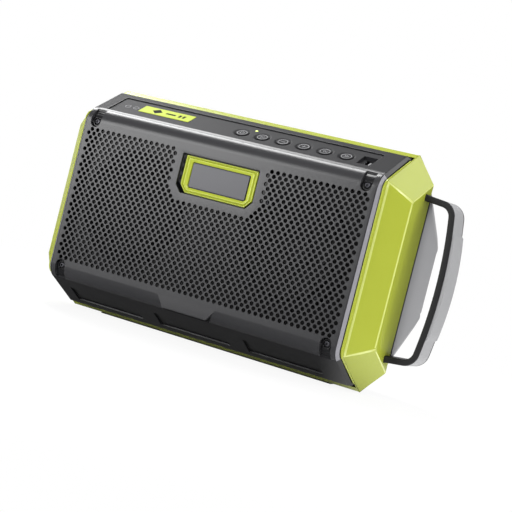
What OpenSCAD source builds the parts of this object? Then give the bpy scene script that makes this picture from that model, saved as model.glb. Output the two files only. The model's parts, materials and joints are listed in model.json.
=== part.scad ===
// Jobsite speaker radio: a wedge-fronted dark control unit with a perforated grille, set in a
// green shell, closed by a grey rear housing and carried by a side handle on its right end.
// Inside the sub-parts x runs along the width, y back from the grille and z up from mid-height.

/* [Dark front unit] */
// Width of the dark front unit
unit_w = 305; // [304:1:310]
// Height of the flat part of the front, between the two rolled edges
flat_h = 136; // [134:1:146]
// Outer radius of the rolled edges above and below the flat front
roll_r = 14.5; // [12:0.5:18]
// Rise of the control deck above the horizontal, in degrees
slope_angle = 29; // [26:0.5:32]
// Length of the control deck along its slope
deck_len = 44; // [43:0.5:46]
// Width of the 45 degree edge round both ends of the dark unit
unit_edge = 2.6; // [2:0.1:2.7]
// Wall of the dark unit
chassis_wall = 3; // [2.5:0.1:3.5]
// Depth of the speaker baffle behind the grille's front
baffle_y = 10; // [9:0.5:12]
// Thickness of the baffle
baffle_t = 2.5; // [2:0.5:4]

/* [Green shell] */
// Vertical distance by which the shell's slopes lie below the dark unit's slopes
step_down = 5; // [4:0.5:6]
// Depth of the shell's front land behind the grille's front
land_y = 8; // [7:0.5:9]
// Width of the front land beside the dark unit
land_w = 2.3; // [1.6:0.1:3]
// Gap between the dark unit and the shell
unit_gap = 0.7; // [0.5:0.1:1]
// Size of the 45 degree bevel between front land and end face
end_bevel = 18.5; // [16:0.5:20]
// Height of the vertical ridge between that bevel and the end face
ridge_h = 128; // [126:1:134]
// Width of the shell's top face between its corner facets
crown_w = 310; // [304:1:316]
// Depth of the shell's raised lips behind the grille's front
lip_y = 3.2; // [2.8:0.1:4]
// Thickness of the raised lips
lip_w = 1; // [0.8:0.1:1]
// Depth of the plane where shell and rear housing meet
parting_y = 63; // [61:0.5:66]
// Wall of the shell
shell_wall = 3; // [2.5:0.1:3.5]

/* [Rear housing] */
// Depth of the whole body
body_d = 118; // [114:1:124]
// Step between the shell's skin and the rear housing's skin
rear_step = 1; // [0.6:0.1:1.4]
// Thickness of the joint between the two, filled by the seal
seam_t = 0.6; // [0.4:0.1:1]
// Wall of the rear housing
rear_wall = 3; // [2.5:0.1:3.5]
// Size of the bevel between the top and bottom faces and the back
rear_bevel = 14; // [8:1:16]
// Height of the back's two ridges, measured ridge to ridge across the channel
back_ridge_h = 74; // [70:1:80]
// Height of the channel floor between the ridges
channel_h = 54; // [52:1:58]
// Width of the chamfer between the end faces and the rear corner facets
edge_w = 6; // [3:0.5:8]
// Depth of the channel
channel_d = 4; // [3:0.5:5]
// Width of the battery well
bay_w = 84; // [76:1:90]
// Height of the battery well, walls included
bay_h = 48; // [44:1:50]
// Depth of the battery well, floor included
bay_d = 36; // [30:1:38]
// Wall of the battery well
bay_wall = 2.5; // [2:0.1:3]

/* [Grille] */
// Thickness of the grille
grille_t = 2; // [1.6:0.1:2.4]
// Spacing of the holes along a row
hole_pitch = 6; // [5.6:0.1:6.4]
// Spacing of the rows
row_pitch = 3.8; // [3.7:0.05:4]
// Diameter of the holes
hole_d = 3.6; // [3:0.1:3.8]
// Number of rows
rows = 33; // [29:2:33]
// Holes in the longer rows
row_holes = 49; // [45:2:49]
// Width of the rim left uncovered at each end of the grille
rim_w = 3; // [3:0.1:3.5]
// Width of the notch round each front screw
notch_w = 10.5; // [9.5:0.5:11]
// Width of the tongue inside each notch
tongue_w = 8.2; // [7.8:0.1:8.6]
// Spacing of the front screws along the width
screw_x = 279; // [276:1:281]
// Spacing of the front screws along the height
screw_z = 137; // [136:1:139]
// Width of the tab's lower edge
tab_w = 46; // [40:1:50]
// Width of the tab where it leaves the flat front
tab_root_w = 62; // [56:1:68]
// Length of the tab below the flat front
tab_len = 11; // [9:0.5:12]

/* [Badge] */
// Width of the badge frame
badge_w = 79; // [74:1:80]
// Height of the badge frame
badge_h = 38; // [34:1:38]
// Height of the badge's middle above mid-height
badge_z = 41.6; // [41:0.2:42]
// Setback of the badge frame behind the grille's front
badge_set = 3; // [2:0.5:3.5]
// Width of the frame round the plate
badge_rim = 10; // [7:0.5:11]
// Gap beside the badge
badge_gap_x = 3.2; // [2:0.2:4]
// Gap above and below the badge
badge_gap_z = 1.6; // [1:0.2:1.8]
// Width of the cut on the badge's lower corners
badge_cut_x = 7.5; // [4:0.5:9]
// Height of the cut on the badge's lower corners
badge_cut_z = 8.5; // [6:0.5:11]

/* [Control deck] */
// Width of the control panel
panel_w = 270; // [266:1:272]
// Place of the panel's middle along the width
panel_x = -3; // [-4:0.5:-2]
// Length of the panel along the slope
panel_len = 33; // [32:0.5:35]
// Distance from the rolled edge to the panel
panel_start = 4; // [3.5:0.5:5]
// Depth of the panel's face below the deck
panel_sink = 1; // [0.6:0.1:1.4]
// Thickness of the panel
panel_t = 4.3; // [4:0.1:4.6]
// Spacing of the buttons
button_pitch = 21; // [20:0.2:21.4]
// Place of the first button along the width
button_x = -1; // [-3:0.5:0]
// Place of the buttons along the slope
button_s = 20.3; // [19:0.1:21.5]
// Diameter of a button cap
button_d = 12.4; // [11:0.1:12.6]
// Diameter of the dish round a button
dish_d = 17.6; // [16:0.1:18.4]
// Depth of the dish
dish_depth = 0.9; // [0.5:0.1:1.2]
// Running gap round a button cap
button_gap = 0.35; // [0.25:0.05:0.5]
// Travel of a button
button_travel = 0.8; // [0.5:0.1:1]
// Width of the green label
label_w = 55; // [50:1:58]
// Length of the green label along the slope
label_len = 14; // [12:0.5:16]
// Place of the label's middle along the width
label_x = -83.5; // [-86:0.5:-80]
// Place of the status light along the width
led_x = 8.7; // [7.5:0.1:9.5]
// Place of the status light along the slope
led_s = 29.6; // [29.4:0.1:31]
// Diameter of the status light
led_d = 3; // [2:0.1:3.2]
// Place of the charging port along the width
usb_x = 124; // [123:0.5:124.5]
// Width of the recess round the charging port
usb_recess_w = 13; // [11:0.5:13]
// Length of the recess round the charging port
usb_recess_len = 16; // [15:0.5:17]

/* [Lower face] */
// Width of one of the three sunk fields
field_w = 74.5; // [70:0.5:80]
// Spacing of the sunk fields
field_pitch = 94.5; // [88:0.5:96]
// Place of the middle field along the width
field_x = -4.5; // [-6:0.5:0]
// Distance from the rolled edge to a field
field_start = 15.2; // [12:0.2:16]
// Length of a field along the slope
field_len = 21.6; // [18:0.2:22]
// Depth of a field
field_depth = 1.6; // [1:0.1:2]

/* [Handle] */
// Depth of the handle's front edge
handle_y = 50; // [49.5:0.5:52]
// Width of the handle band
handle_w = 27; // [24:0.5:27.5]
// Reach of the handle beyond the end face
handle_reach = 34.4; // [32:0.2:44]
// Height of the handle's outer outline at the end face
handle_root_h = 148.4; // [142:0.2:149]
// Inward tilt of the handle's legs, in degrees
leg_tilt = 6; // [4:0.5:7]
// Outer radius of the handle's corners
handle_r = 14; // [11:0.5:18]
// Radius of the bow along the grip
bow_r = 400; // [340:20:480]
// Thickness of the handle band
core_t = 5.6; // [5:0.1:6.4]
// Thickness of the soft grip let into the band's outer face
grip_t = 1.2; // [1:0.1:1.6]
// Width of the band left bare beside the grip
grip_margin = 1.2; // [1:0.1:2]
// Distance of the grip's ends from the end face
grip_start = 12; // [10:0.5:14]
// Height of the raised pad on the grip
pad_h = 93; // [80:1:96]
// Rise of the pad in its middle
pad_rise = 3; // [2.2:0.1:3.6]
// Radius of the pad's crown
pad_r = 275; // [250:5:320]
// Length of the handle's ends inside the body
stub_len = 16; // [15:0.5:17]

/* [Loudspeakers] */
// Spacing of the two loudspeakers
driver_pitch = 168; // [164:1:172]
// Diameter of a loudspeaker's flange
flange_d = 104; // [98:1:106]
// Width of the flange outside the baffle opening
flange_rim = 6; // [5.5:0.5:7]
// Depth of a loudspeaker behind the baffle's face
driver_depth = 60; // [52:1:62]
// Diameter of a loudspeaker's magnet
magnet_d = 76; // [70:1:80]
// Thickness of the magnet
magnet_t = 20; // [16:1:22]

/* [Amplifier] */
// Width of the amplifier board
amp_w = 76; // [70:1:78]
// Height of the amplifier board
amp_h = 96; // [88:1:100]
// Height of the heat sink's fins
fin_h = 12; // [8:0.5:14]
// Space between the fins and the battery well
fin_gap = 4.4; // [3:0.2:6]

/* [Fasteners and feet] */
// Diameter of a screw's shank
shank_d = 3.4; // [3:0.1:4]
// Diameter of a screw's head
head_d = 6; // [5.6:0.1:6.4]
// Height of a screw's head
head_h = 2.2; // [1.8:0.1:2.6]
// Radial clearance of a screw in its hole
screw_fit = 0.1; // [0.05:0.05:0.2]
// Diameter of a screw post
post_d = 10; // [8:0.5:11]
// Spacing of the rear screws along the width
rear_screw_x = 322; // [318:1:326]
// Spacing of the rear screws along the height
rear_screw_z = 84; // [78:1:88]
// Height of the rubber foot below the body
foot_h = 1; // [0.6:0.1:2]
// Length of the foot along the width
foot_len = 250; // [200:5:290]
// Width of the foot's two strips
foot_strip = 8; // [6:0.5:12]
// Width of the web between the strips
foot_web = 40; // [30:1:60]

/* [Hidden] */

$fn = 48;
eps = 0.01;
far = 500;
fit = 0.2;

// Profile of the dark unit: flat front, rolled edge, deck, top
roll_z = flat_h / 2;
slope_y = roll_r * (1 - sin(slope_angle));
slope_z = roll_z + roll_r * cos(slope_angle);
deck_y = slope_y + deck_len * cos(slope_angle);
deck_z = slope_z + deck_len * sin(slope_angle);

// Green shell: the four corners that span each corner facet
half_w = unit_w / 2 + unit_gap + land_w + end_bevel;
land_z = slope_z + (land_y - slope_y) * tan(slope_angle) - step_down;
crown_z = land_z + (parting_y - land_y) * tan(slope_angle);
corner_in = [half_w - end_bevel, land_y, land_z];
corner_ridge = [half_w, land_y + end_bevel, ridge_h / 2];
corner_crown = [crown_w / 2, parting_y, crown_z];
facet_n = cross(corner_ridge - corner_in, corner_crown - corner_in);
end_top_z = ridge_h / 2 - facet_n.y / facet_n.z * (parting_y - corner_ridge.y);

// Grey rear housing: the three corners that span each rear facet
rear_half_w = half_w - rear_step;
rear_z = crown_z - rear_step;
rear_a = [rear_half_w, parting_y, end_top_z];
rear_b = [rear_half_w, body_d, back_ridge_h / 2];
rear_c = [crown_w / 2, parting_y, rear_z];
rear_n = cross(rear_b - rear_a, rear_c - rear_a);
edge_dir = (rear_b - rear_a) / norm(rear_b - rear_a);
edge_p = rear_a + edge_w * [0, edge_dir.z, -edge_dir.y];
edge_n = rear_n / norm(rear_n) + [1, 0, 0];
seat_y = parting_y + seam_t;
channel_y = body_d - channel_d;

// Foot; the middle of its underside is the origin of the whole part
foot_y0 = seat_y + 2;
foot_y1 = body_d - rear_bevel - 4;
base_z = crown_z + foot_h;

// Grille and badge
grille_half_w = unit_w / 2 - rim_w;
field_half_w = (row_holes - 1) / 2 * hole_pitch + hole_d / 2 + 0.4;
field_half_h = (rows - 1) / 2 * row_pitch + hole_d / 2 + 0.2;
badge_margin = hole_d / 2 + 1.2;
plate_w = badge_w - 2 * badge_rim;
plate_h = badge_h - 2 * badge_rim + 4;
plate_t = 3;

// Buttons and board
buttons = 6;
bore_d = button_d + 2 * button_gap;
cap_lip = 1;
lip_t = 1;
lip_gap = 0.3;
panel_under = panel_sink + panel_t;
flange_w = 3;
board_n = 13;
board_t = 1.6;
switch_w = 6;
switch_h = 3;
usb_w = 5.7;
usb_len = 13.1;
usb_sheet = 0.5;

// Front screws, posts and handle screws
seat_front = 5;
post_front = baffle_y + baffle_t;
front_screw_len = 28;
stub_x = half_w - stub_len;
leg_mid_x = stub_x + 5;
leg_mid_z = handle_root_h / 2 + (half_w - leg_mid_x) * tan(leg_tilt) - core_t / 2 / cos(leg_tilt);
handle_end_y = handle_y + handle_w;
handle_bite = 5.5;

// Loudspeakers
flange_t = 1.6;
gasket_t = 1;
opening_d = flange_d - 2 * flange_rim;
driver_screw_r = flange_d / 2 - 4;
roll_w = 8;
cone_r = opening_d / 2 - roll_w - 2;
cone_neck = 12;

// Amplifier: board, screws near its corners, heat sink on its back
amp_screw_x = amp_w - 8;
amp_screw_z = amp_h - 8;
sink_w = amp_w - 20;
sink_h = amp_h - 28;
sink_base = 4;
fins = 8;
fin_t = 1.4;
amp_y = channel_y - bay_d - fin_gap - fin_h - sink_base - board_t;

// ---- shared helpers ----

// Moves a sub-part from the front's own axes to the frame of the whole part
module placed() {
    translate([0, -(foot_y0 + foot_y1) / 2, base_z]) children();
}

// Extrudes a side outline (depth, height) evenly to both sides along the width
module along_x(w) {
    rotate([90, 0, 90]) linear_extrude(w, center = true) children();
}

// Extrudes a front outline (width, height) from one depth to another
module along_y(y0, y1) {
    translate([0, y1, 0]) rotate([90, 0, 0]) linear_extrude(y1 - y0) children();
}

// A cylinder or cone along the depth
module rod_y(y0, y1, d1, d2 = 0) {
    translate([0, y0, 0]) rotate([-90, 0, 0])
        cylinder(h = y1 - y0, d1 = d1, d2 = d2 > 0 ? d2 : d1);
}

// Axes of the control deck: x along the width, y up the slope, z out of the face
module on_deck() {
    translate([0, slope_y, slope_z]) rotate([slope_angle, 0, 0]) children();
}

// Everything beyond a plane, given a point of it and its outward normal
module beyond(point, normal) {
    n = normal / norm(normal);
    translate(point) rotate([0, acos(n.z), atan2(n.y, n.x)])
        translate([-far / 2, -far / 2, 0]) cube(far);
}

// Copies to both sides of a plane
module both(axis) {
    children();
    mirror(axis) children();
}

module four_corners(w, h) {
    for (i = [-1, 1], j = [-1, 1]) translate([i * w / 2, 0, j * h / 2]) children();
}

// ---- outlines ----

// Dark unit's side outline, moved in by t; it runs back to depth y1
module unit_outline(t = 0, y1 = parting_y) {
    dy = t * sin(slope_angle);
    dz = t * cos(slope_angle);
    up = [[t, roll_z], [slope_y + dy, slope_z - dz],
        [deck_y + t * tan(slope_angle / 2), deck_z - t], [y1, deck_z - t]];
    down = [for (i = [3:-1:0]) [up[i].x, -up[i].y]];
    polygon(concat(up, down));
    for (s = [-1, 1]) translate([roll_r, s * roll_z]) circle(r = roll_r - t);
}

// Dark unit's outer form, with a 45 degree edge round both ends
module unit_form() {
    difference() {
        along_x(unit_w) unit_outline();
        both([1, 0, 0]) both([0, 0, 1]) {
            x = unit_w / 2 - unit_edge;
            beyond([x, 0, 0], [1, -1, 0]);
            beyond([x, slope_y, slope_z], [1, -sin(slope_angle), cos(slope_angle)]);
            beyond([x, deck_y, deck_z], [1, 0, 1]);
            // Round the rolled edge, between the flat front and the deck
            translate([x, roll_r, roll_z]) rotate([90, 0, 90]) difference() {
                linear_extrude(2 * unit_edge) polygon(2 * roll_r * [[0, 0], [-1, 0], [-1, 1],
                    [-sin(slope_angle), cos(slope_angle)]]);
                cylinder(h = 2 * unit_edge, r1 = roll_r, r2 = roll_r - 2 * unit_edge);
            }
        }
    }
}

// Shell's side outline: land, slopes and flat top, run back to depth y1
module shell_outline(y1) {
    polygon([[land_y, -land_z], [land_y, land_z], [parting_y, crown_z], [y1, crown_z],
        [y1, -crown_z], [parting_y, -crown_z]]);
}

// Shell's outer form with every face moved in by t
module shell_form(t = 0) {
    reach = t > 0 ? 20 : 0;
    plan = [[-half_w + end_bevel, land_y], [half_w - end_bevel, land_y],
        [half_w, land_y + end_bevel], [half_w, far], [-half_w, far],
        [-half_w, land_y + end_bevel]];
    n = facet_n / norm(facet_n);
    difference() {
        intersection() {
            along_x(2 * half_w) offset(delta = -t) shell_outline(parting_y + reach);
            translate([0, 0, -far / 2]) linear_extrude(far) offset(delta = -t) polygon(plan);
        }
        both([1, 0, 0]) both([0, 0, 1]) beyond(corner_in - t * n, facet_n);
    }
}

// Rear housing's outer form with every face moved in by t
module rear_form(t = 0) {
    front = seat_y - (t > 0 ? 20 : 0);
    top = body_d - rear_bevel;
    half = [[front, rear_z], [top, rear_z], [body_d, rear_z - rear_bevel],
        [body_d, back_ridge_h / 2], [channel_y, channel_h / 2]];
    difference() {
        along_x(2 * (rear_half_w - t)) offset(delta = -t)
            polygon(concat(half, [for (i = [4:-1:0]) [half[i].x, -half[i].y]]));
        both([1, 0, 0]) both([0, 0, 1]) {
            beyond(rear_a - t * rear_n / norm(rear_n), rear_n);
            beyond(edge_p - t * edge_n / norm(edge_n), edge_n);
        }
    }
}

// Front view of the joint between shell and rear housing, moved in by t
module seam_outline(t) {
    edge_z = edge_p.z - edge_n.y / edge_n.z * (seat_y - edge_p.y);
    offset(delta = -t) difference() {
        polygon([
            [rear_half_w, end_top_z], [crown_w / 2, rear_z], [-crown_w / 2, rear_z],
            [-rear_half_w, end_top_z], [-rear_half_w, -end_top_z], [-crown_w / 2, -rear_z],
            [crown_w / 2, -rear_z], [rear_half_w, -end_top_z]]);
        both([1, 0, 0]) both([0, 1, 0]) translate([rear_half_w, edge_z])
            rotate(atan2(edge_n.z, edge_n.x)) translate([0, -far / 2]) square(far);
    }
}

// Badge outline with its cut lower corners, grown by gx beside and gz above and below
module badge_outline(gx = 0, gz = 0) {
    w = badge_w / 2 + gx;
    h = badge_h / 2 + gz;
    translate([0, badge_z]) polygon([[-w, h], [w, h], [w, badge_cut_z - h],
        [w - badge_cut_x, -h], [badge_cut_x - w, -h], [-w, badge_cut_z - h]]);
}

// Notch round a front screw, open towards the rolled edge
module notch_outline(w) {
    circle(d = w);
    translate([-w / 2, 0]) square([w, roll_r + 4]);
}

module at_notches() {
    both([1, 0, 0]) both([0, 0, 1]) translate([screw_x / 2, 0, screw_z / 2]) children();
}

// ---- green shell ----

module outer_shell() placed() color("#b4bd3e") {
    difference() {
        union() {
            difference() {
                shell_form();
                shell_form(shell_wall);
            }
            // Raised lips beside the ends of the dark unit
            intersection() {
                along_x(unit_w + 2 * unit_gap + 2 * lip_w) difference() {
                    unit_outline(lip_y);
                    unit_outline(lip_y + 2 * shell_wall);
                }
                translate([-far / 2, 0, -far / 2]) cube([far, deck_y + 4, far]);
            }
            // Bosses that take the rear screws, each with a web to the end wall
            intersection() {
                shell_form(shell_wall / 2);
                four_corners(rear_screw_x, rear_screw_z) {
                    rod_y(land_y, parting_y, post_d);
                    translate([-10, land_y, -1]) cube([20, parting_y - land_y, 2]);
                }
            }
        }
        // Opening for the dark unit
        cube([unit_w + 2 * unit_gap, far, 2 * (deck_z + unit_gap)], center = true);
        four_corners(rear_screw_x, rear_screw_z)
            rod_y(parting_y - 22, parting_y + 1, shank_d + 2 * screw_fit);
        handle_slots();
    }
}

// ---- grey rear housing ----

module rear_housing() placed() color("#9a9a9c") {
    well = channel_y - rear_wall - 12;
    difference() {
        union() {
            difference() {
                rear_form();
                rear_form(rear_wall);
            }
            intersection() {
                union() {
                    // Posts for the front screws
                    four_corners(screw_x, screw_z) rod_y(post_front + fit, body_d, post_d);
                    // Pillars round the rear screws
                    four_corners(rear_screw_x, rear_screw_z) rod_y(seat_y, body_d, post_d + 2);
                    // Bosses for the handle screws
                    for (s = [-1, 1]) translate([leg_mid_x, 0, s * leg_mid_z])
                        rod_y(handle_end_y + fit, body_d, post_d - 1);
                    // Ribs that stiffen the top and bottom faces
                    for (x = [-110, -55, 55, 110], s = [-1, 1]) translate([x, 0, s * rear_z])
                        translate([-1, seat_y + 4, -8]) cube([2, body_d, 16]);
                }
                rear_form(rear_wall / 2);
                translate([-far / 2, post_front + fit, -far / 2]) cube(far);
            }
        }
        four_corners(screw_x, screw_z)
            rod_y(0, seat_front + front_screw_len + 2, shank_d + 2 * screw_fit);
        four_corners(rear_screw_x, rear_screw_z) {
            rod_y(seat_y - 1, far, shank_d + 2 * screw_fit);
            rod_y(well, far, head_d + 1.4);
        }
        for (s = [-1, 1]) translate([leg_mid_x, 0, s * leg_mid_z])
            rod_y(handle_y, handle_end_y + handle_bite + 0.5, shank_d + 2 * screw_fit);
        // Opening for the battery well
        cube([bay_w + 2 * fit, far, bay_h + 2 * fit], center = true);
        handle_slots();
    }
}

module rear_screws() placed() color("#6e6e70") {
    seat = channel_y - rear_wall - 12;
    four_corners(rear_screw_x, rear_screw_z) difference() {
        union() {
            rod_y(parting_y - 20, seat + eps, shank_d);
            rod_y(seat, seat + head_h, head_d);
        }
        rod_y(seat + head_h - 1.2, seat + head_h + 1, 3);
    }
}

module body_seal() placed() color("#1c1c1c") {
    along_y(parting_y, seat_y) difference() {
        seam_outline(1);
        seam_outline(2.6);
        for (s = [-1, 1]) translate([half_w, s * handle_root_h / 2]) square(30, center = true);
    }
}

// One moulded foot: a strip along the front and one along the back, joined by a web
module rubber_foot() placed() color("#202020") {
    h = base_z - rear_z;
    for (y = [foot_y0, foot_y1 - foot_strip]) translate([-foot_len / 2, y, -base_z])
        cube([foot_len, foot_strip, h]);
    translate([-foot_web / 2, foot_y0, -base_z]) cube([foot_web, foot_y1 - foot_y0, h]);
}

// ---- dark front unit ----

module front_chassis() placed() color("#333436") {
    difference() {
        union() {
            difference() {
                unit_form();
                // Hollow behind the baffle
                intersection() {
                    along_x(unit_w - 2 * chassis_wall)
                        unit_outline(chassis_wall, parting_y + 1);
                    translate([-far / 2, baffle_y + baffle_t, -far / 2]) cube(far);
                }
                // Space between grille and baffle
                along_y(-1, baffle_y) square([2 * field_half_w, 2 * field_half_h], center = true);
                grille_rebate();
            }
            // Pad that carries the badge
            along_y(badge_set + plate_t, baffle_y + 1) badge_outline(-1, -1);
            // Stand-offs for the amplifier board
            four_corners(amp_screw_x, amp_screw_z) rod_y(baffle_y + 1, amp_y, 7);
        }
        // Moats round the front screws, each with a tongue that carries on the rolled edge
        at_notches() difference() {
            along_y(-1, seat_front) notch_outline(notch_w - 2 * fit);
            translate([0, 0, -screw_z / 2]) intersection() {
                along_x(tongue_w) unit_outline(grille_t + 0.6);
                translate([0, 0, screw_z / 2]) along_y(-2, roll_r) notch_outline(tongue_w);
            }
        }
        four_corners(screw_x, screw_z) rod_y(-1, seat_front, head_d + 0.6);
        four_corners(screw_x, screw_z) rod_y(0, post_front + 1, shank_d + 2 * screw_fit);
        for (s = [-1, 1]) translate([s * driver_pitch / 2, 0, 0])
            rod_y(baffle_y - 1, baffle_y + baffle_t + 1, opening_d);
        at_driver_screws() rod_y(baffle_y - 1, baffle_y + baffle_t + 1, 3);
        four_corners(amp_screw_x, amp_screw_z) rod_y(amp_y - 10, amp_y + 1, 2.6);
        // Opening for the control panel
        on_deck() translate([panel_x - panel_w / 2, panel_start, -chassis_wall - 2])
            cube([panel_w, panel_len, chassis_wall + 4]);
        // Seat of the panel's flange under the deck's wall
        on_deck() translate([panel_x - panel_w / 2 - flange_w - fit, panel_start - 2 - fit,
            -panel_under - 1])
            cube([panel_w + 2 * (flange_w + fit), panel_len + 2 * (2 + fit),
                panel_under + 1 - chassis_wall]);
        // Sunk fields of the lower face
        mirror([0, 0, 1]) on_deck() for (i = [-1, 0, 1])
            translate([field_x + i * field_pitch - field_w / 2, field_start, -field_depth])
                cube([field_w, field_len, 10]);
    }
}

// Space that the grille fills in the dark unit
module grille_rebate() {
    intersection() {
        along_x(2 * (grille_half_w + fit)) difference() {
            offset(delta = 5) unit_outline();
            unit_outline(grille_t + 0.05);
        }
        grille_reach(fit);
    }
}

// Depth range of the grille: from the front to the end of its rolled edges
module grille_reach(extra) {
    difference() {
        translate([-far / 2, -far + slope_y, -far / 2]) cube(far);
        both([0, 0, 1]) on_deck() translate([-far / 2, extra, -far / 2]) cube(far);
    }
}

module front_screws() placed() color("#4a4a4c") {
    four_corners(screw_x, screw_z) difference() {
        union() {
            rod_y(seat_front - eps, seat_front + front_screw_len, shank_d);
            rod_y(seat_front - head_h, seat_front, head_d - 1, head_d);
        }
        rod_y(0, seat_front - head_h + 1.2, 2.8);
    }
}

// ---- grille ----

// Centres of the perforations that stay clear of the badge
function clear_of_badge(x, z) = abs(x) > badge_w / 2 + badge_gap_x + badge_margin
    || abs(z - badge_z) > badge_h / 2 + badge_gap_z + badge_margin
    || (badge_z - z) / badge_cut_z + abs(x) / badge_cut_x
        > (badge_h / 2 + badge_gap_z + badge_margin) / badge_cut_z
            + (badge_w / 2 + badge_gap_x + badge_margin) / badge_cut_x - 1;
row_half = (rows - 1) / 2;
hole_centres = [for (j = [-row_half:row_half])
    let (odd = (j + row_half) % 2, n = row_holes - 1 + odd)
    for (i = [0:n - 1])
        let (x = (i - (n - 1) / 2) * hole_pitch, z = j * row_pitch)
        if (clear_of_badge(x, z)) [x, z]];

module grille() placed() color("#55565a") {
    difference() {
        union() {
            intersection() {
                along_x(2 * grille_half_w) difference() {
                    unit_outline();
                    unit_outline(grille_t);
                }
                grille_reach(0);
            }
            grille_tab();
        }
        along_y(-1, grille_t + 1) for (c = hole_centres) translate(c) circle(d = hole_d);
        along_y(-1, grille_t + 1) badge_outline(badge_gap_x, badge_gap_z);
        at_notches() along_y(-1, roll_r) notch_outline(notch_w);
        // The rolled edge stops beside the tab
        difference() {
            along_y(grille_t, roll_r) tab_outline(1.2);
            translate([-far / 2, -1, -roll_z]) cube(far);
        }
    }
}

module tab_outline(grow = 0) {
    z0 = -roll_z;
    z1 = -roll_z - tab_len;
    offset(delta = grow) polygon([[-tab_root_w / 2, z0 + 1], [tab_root_w / 2, z0 + 1],
        [tab_root_w / 2, z0], [tab_w / 2, z1], [-tab_w / 2, z1], [-tab_root_w / 2, z0]]);
}

// Flat tab that carries on down from the front, clear of the rolled edge beside it
module grille_tab() {
    along_y(0, grille_t) tab_outline();
}

// ---- badge ----

module badge_frame() placed() color("#c3cc4c") {
    step = badge_rim / 3;
    difference() {
        along_y(badge_set, badge_set + plate_t) badge_outline();
        // Groove between the outer lip and the bevel
        along_y(0, badge_set + 0.8) difference() {
            badge_outline(-step, -step);
            badge_outline(-1.6 * step, -1.6 * step);
        }
        along_y(0, badge_set + plate_t + 1) translate([0, badge_z])
            square([plate_w, plate_h], center = true);
    }
}

module badge_plate() placed() color("#48484c") {
    along_y(badge_set + 1, badge_set + plate_t) translate([0, badge_z])
        square([plate_w - fit, plate_h - fit], center = true);
}

// ---- control deck ----

module at_buttons() {
    for (i = [0:buttons - 1]) translate([button_x + i * button_pitch, button_s, 0]) children();
}

module control_panel() placed() color("#3b3c3f") on_deck() {
    difference() {
        union() {
            translate([panel_x - panel_w / 2 + fit, panel_start + fit, -panel_under])
                cube([panel_w - 2 * fit, panel_len - 2 * fit, panel_t]);
            // Flange behind the deck's wall
            translate([panel_x - panel_w / 2 - flange_w, panel_start - 2, -panel_under])
                cube([panel_w + 2 * flange_w, panel_len + 4, panel_under - chassis_wall - 0.1]);
            // Posts that carry the control board
            for (x = [button_x - 9, usb_x + 8], s = [9, 32])
                translate([x, s, -board_n]) cylinder(d = 4, h = board_n - panel_under + 1);
        }
        at_buttons() {
            translate([0, 0, -panel_under - 1]) cylinder(d = bore_d, h = panel_t + 2);
            translate([0, 0, -panel_sink - dish_depth])
                cylinder(d1 = bore_d, d2 = dish_d, h = dish_depth + eps);
        }
        translate([led_x, led_s, -panel_under - 1]) cylinder(d = led_d + fit, h = panel_t + 2);
        // Recess and slot of the charging port
        translate([usb_x - usb_recess_w / 2, button_s - usb_recess_len / 2, -panel_sink - 3])
            cube([usb_recess_w, usb_recess_len, 10]);
        translate([usb_x, button_s, 0])
            cube([usb_w + 2 * fit, usb_len + 2 * fit, 30], center = true);
    }
}

// Button number i, counted from the left, with its lip under the panel and its plunger
module button(i) {
    top = panel_sink - 0.1;
    lip = panel_under + lip_gap;
    plunger = board_n - switch_h - button_travel - lip_gap;
    placed() on_deck() translate([button_x + i * button_pitch, button_s, 0]) {
        translate([0, 0, -lip - eps]) cylinder(d = button_d, h = lip - top - 0.6 + eps);
        // Rounded edge of the cap
        translate([0, 0, -top - 0.6]) cylinder(d1 = button_d, d2 = button_d - 1.2, h = 0.6);
        translate([0, 0, -lip - lip_t]) cylinder(d = bore_d + 2 * cap_lip, h = lip_t);
        translate([0, 0, -plunger]) cylinder(d = 4, h = plunger - lip);
    }
}

module power_button() color("#2b2b2d") button(0);
module mode_button() color("#2b2b2d") button(1);
module volume_down_button() color("#2b2b2d") button(2);
module volume_up_button() color("#2b2b2d") button(3);
module previous_button() color("#2b2b2d") button(4);
module next_button() color("#2b2b2d") button(5);

module label_patch() placed() color("#c9d438") on_deck() {
    translate([label_x, button_s + 2.4, -panel_sink + 0.2])
        cube([label_w, label_len, 0.4], center = true);
}

module led_lens() placed() color("#e4f08a") on_deck() {
    translate([led_x, led_s, -board_n]) cylinder(d = led_d, h = board_n - panel_sink + 0.2);
}

module control_board() placed() color("#1f5a3a") on_deck() {
    x0 = button_x - 12;
    x1 = usb_x + 11;
    translate([x0, 6, -board_n - board_t]) cube([x1 - x0, 29, board_t]);
}

module tact_switches() placed() color("#c8c8c8") on_deck() {
    at_buttons() translate([-switch_w / 2, -switch_w / 2, -board_n])
        cube([switch_w, switch_w, switch_h]);
}

module usb_shell() placed() color("#c0c0c4") on_deck() {
    translate([usb_x - usb_w / 2, button_s - usb_len / 2, -board_n]) difference() {
        cube([usb_w, usb_len, board_n - panel_sink - 3.4]);
        translate([usb_sheet, usb_sheet, 1])
            cube([usb_w - 2 * usb_sheet, usb_len - 2 * usb_sheet, board_n]);
    }
}

module usb_tongue() placed() color("#e8e8e8") on_deck() {
    translate([usb_x + 0.2, button_s - 5.6, -board_n + 1]) cube([1.8, 11.2, board_n - 6]);
}

// ---- loudspeakers ----

// Axes of a loudspeaker: z back from the baffle's face
module at_driver(side) {
    translate([side * driver_pitch / 2, baffle_y, 0]) rotate([-90, 0, 0]) children();
}

module at_driver_screws() {
    for (s = [-1, 1], a = [45:90:315])
        translate([s * driver_pitch / 2, 0, 0])
            translate(driver_screw_r * [cos(a), 0, sin(a)]) children();
}

module flange_holes() {
    for (a = [45:90:315]) rotate([0, 0, a]) translate([driver_screw_r, 0, -4])
        cylinder(d = 3.4, h = 6);
}

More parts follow.
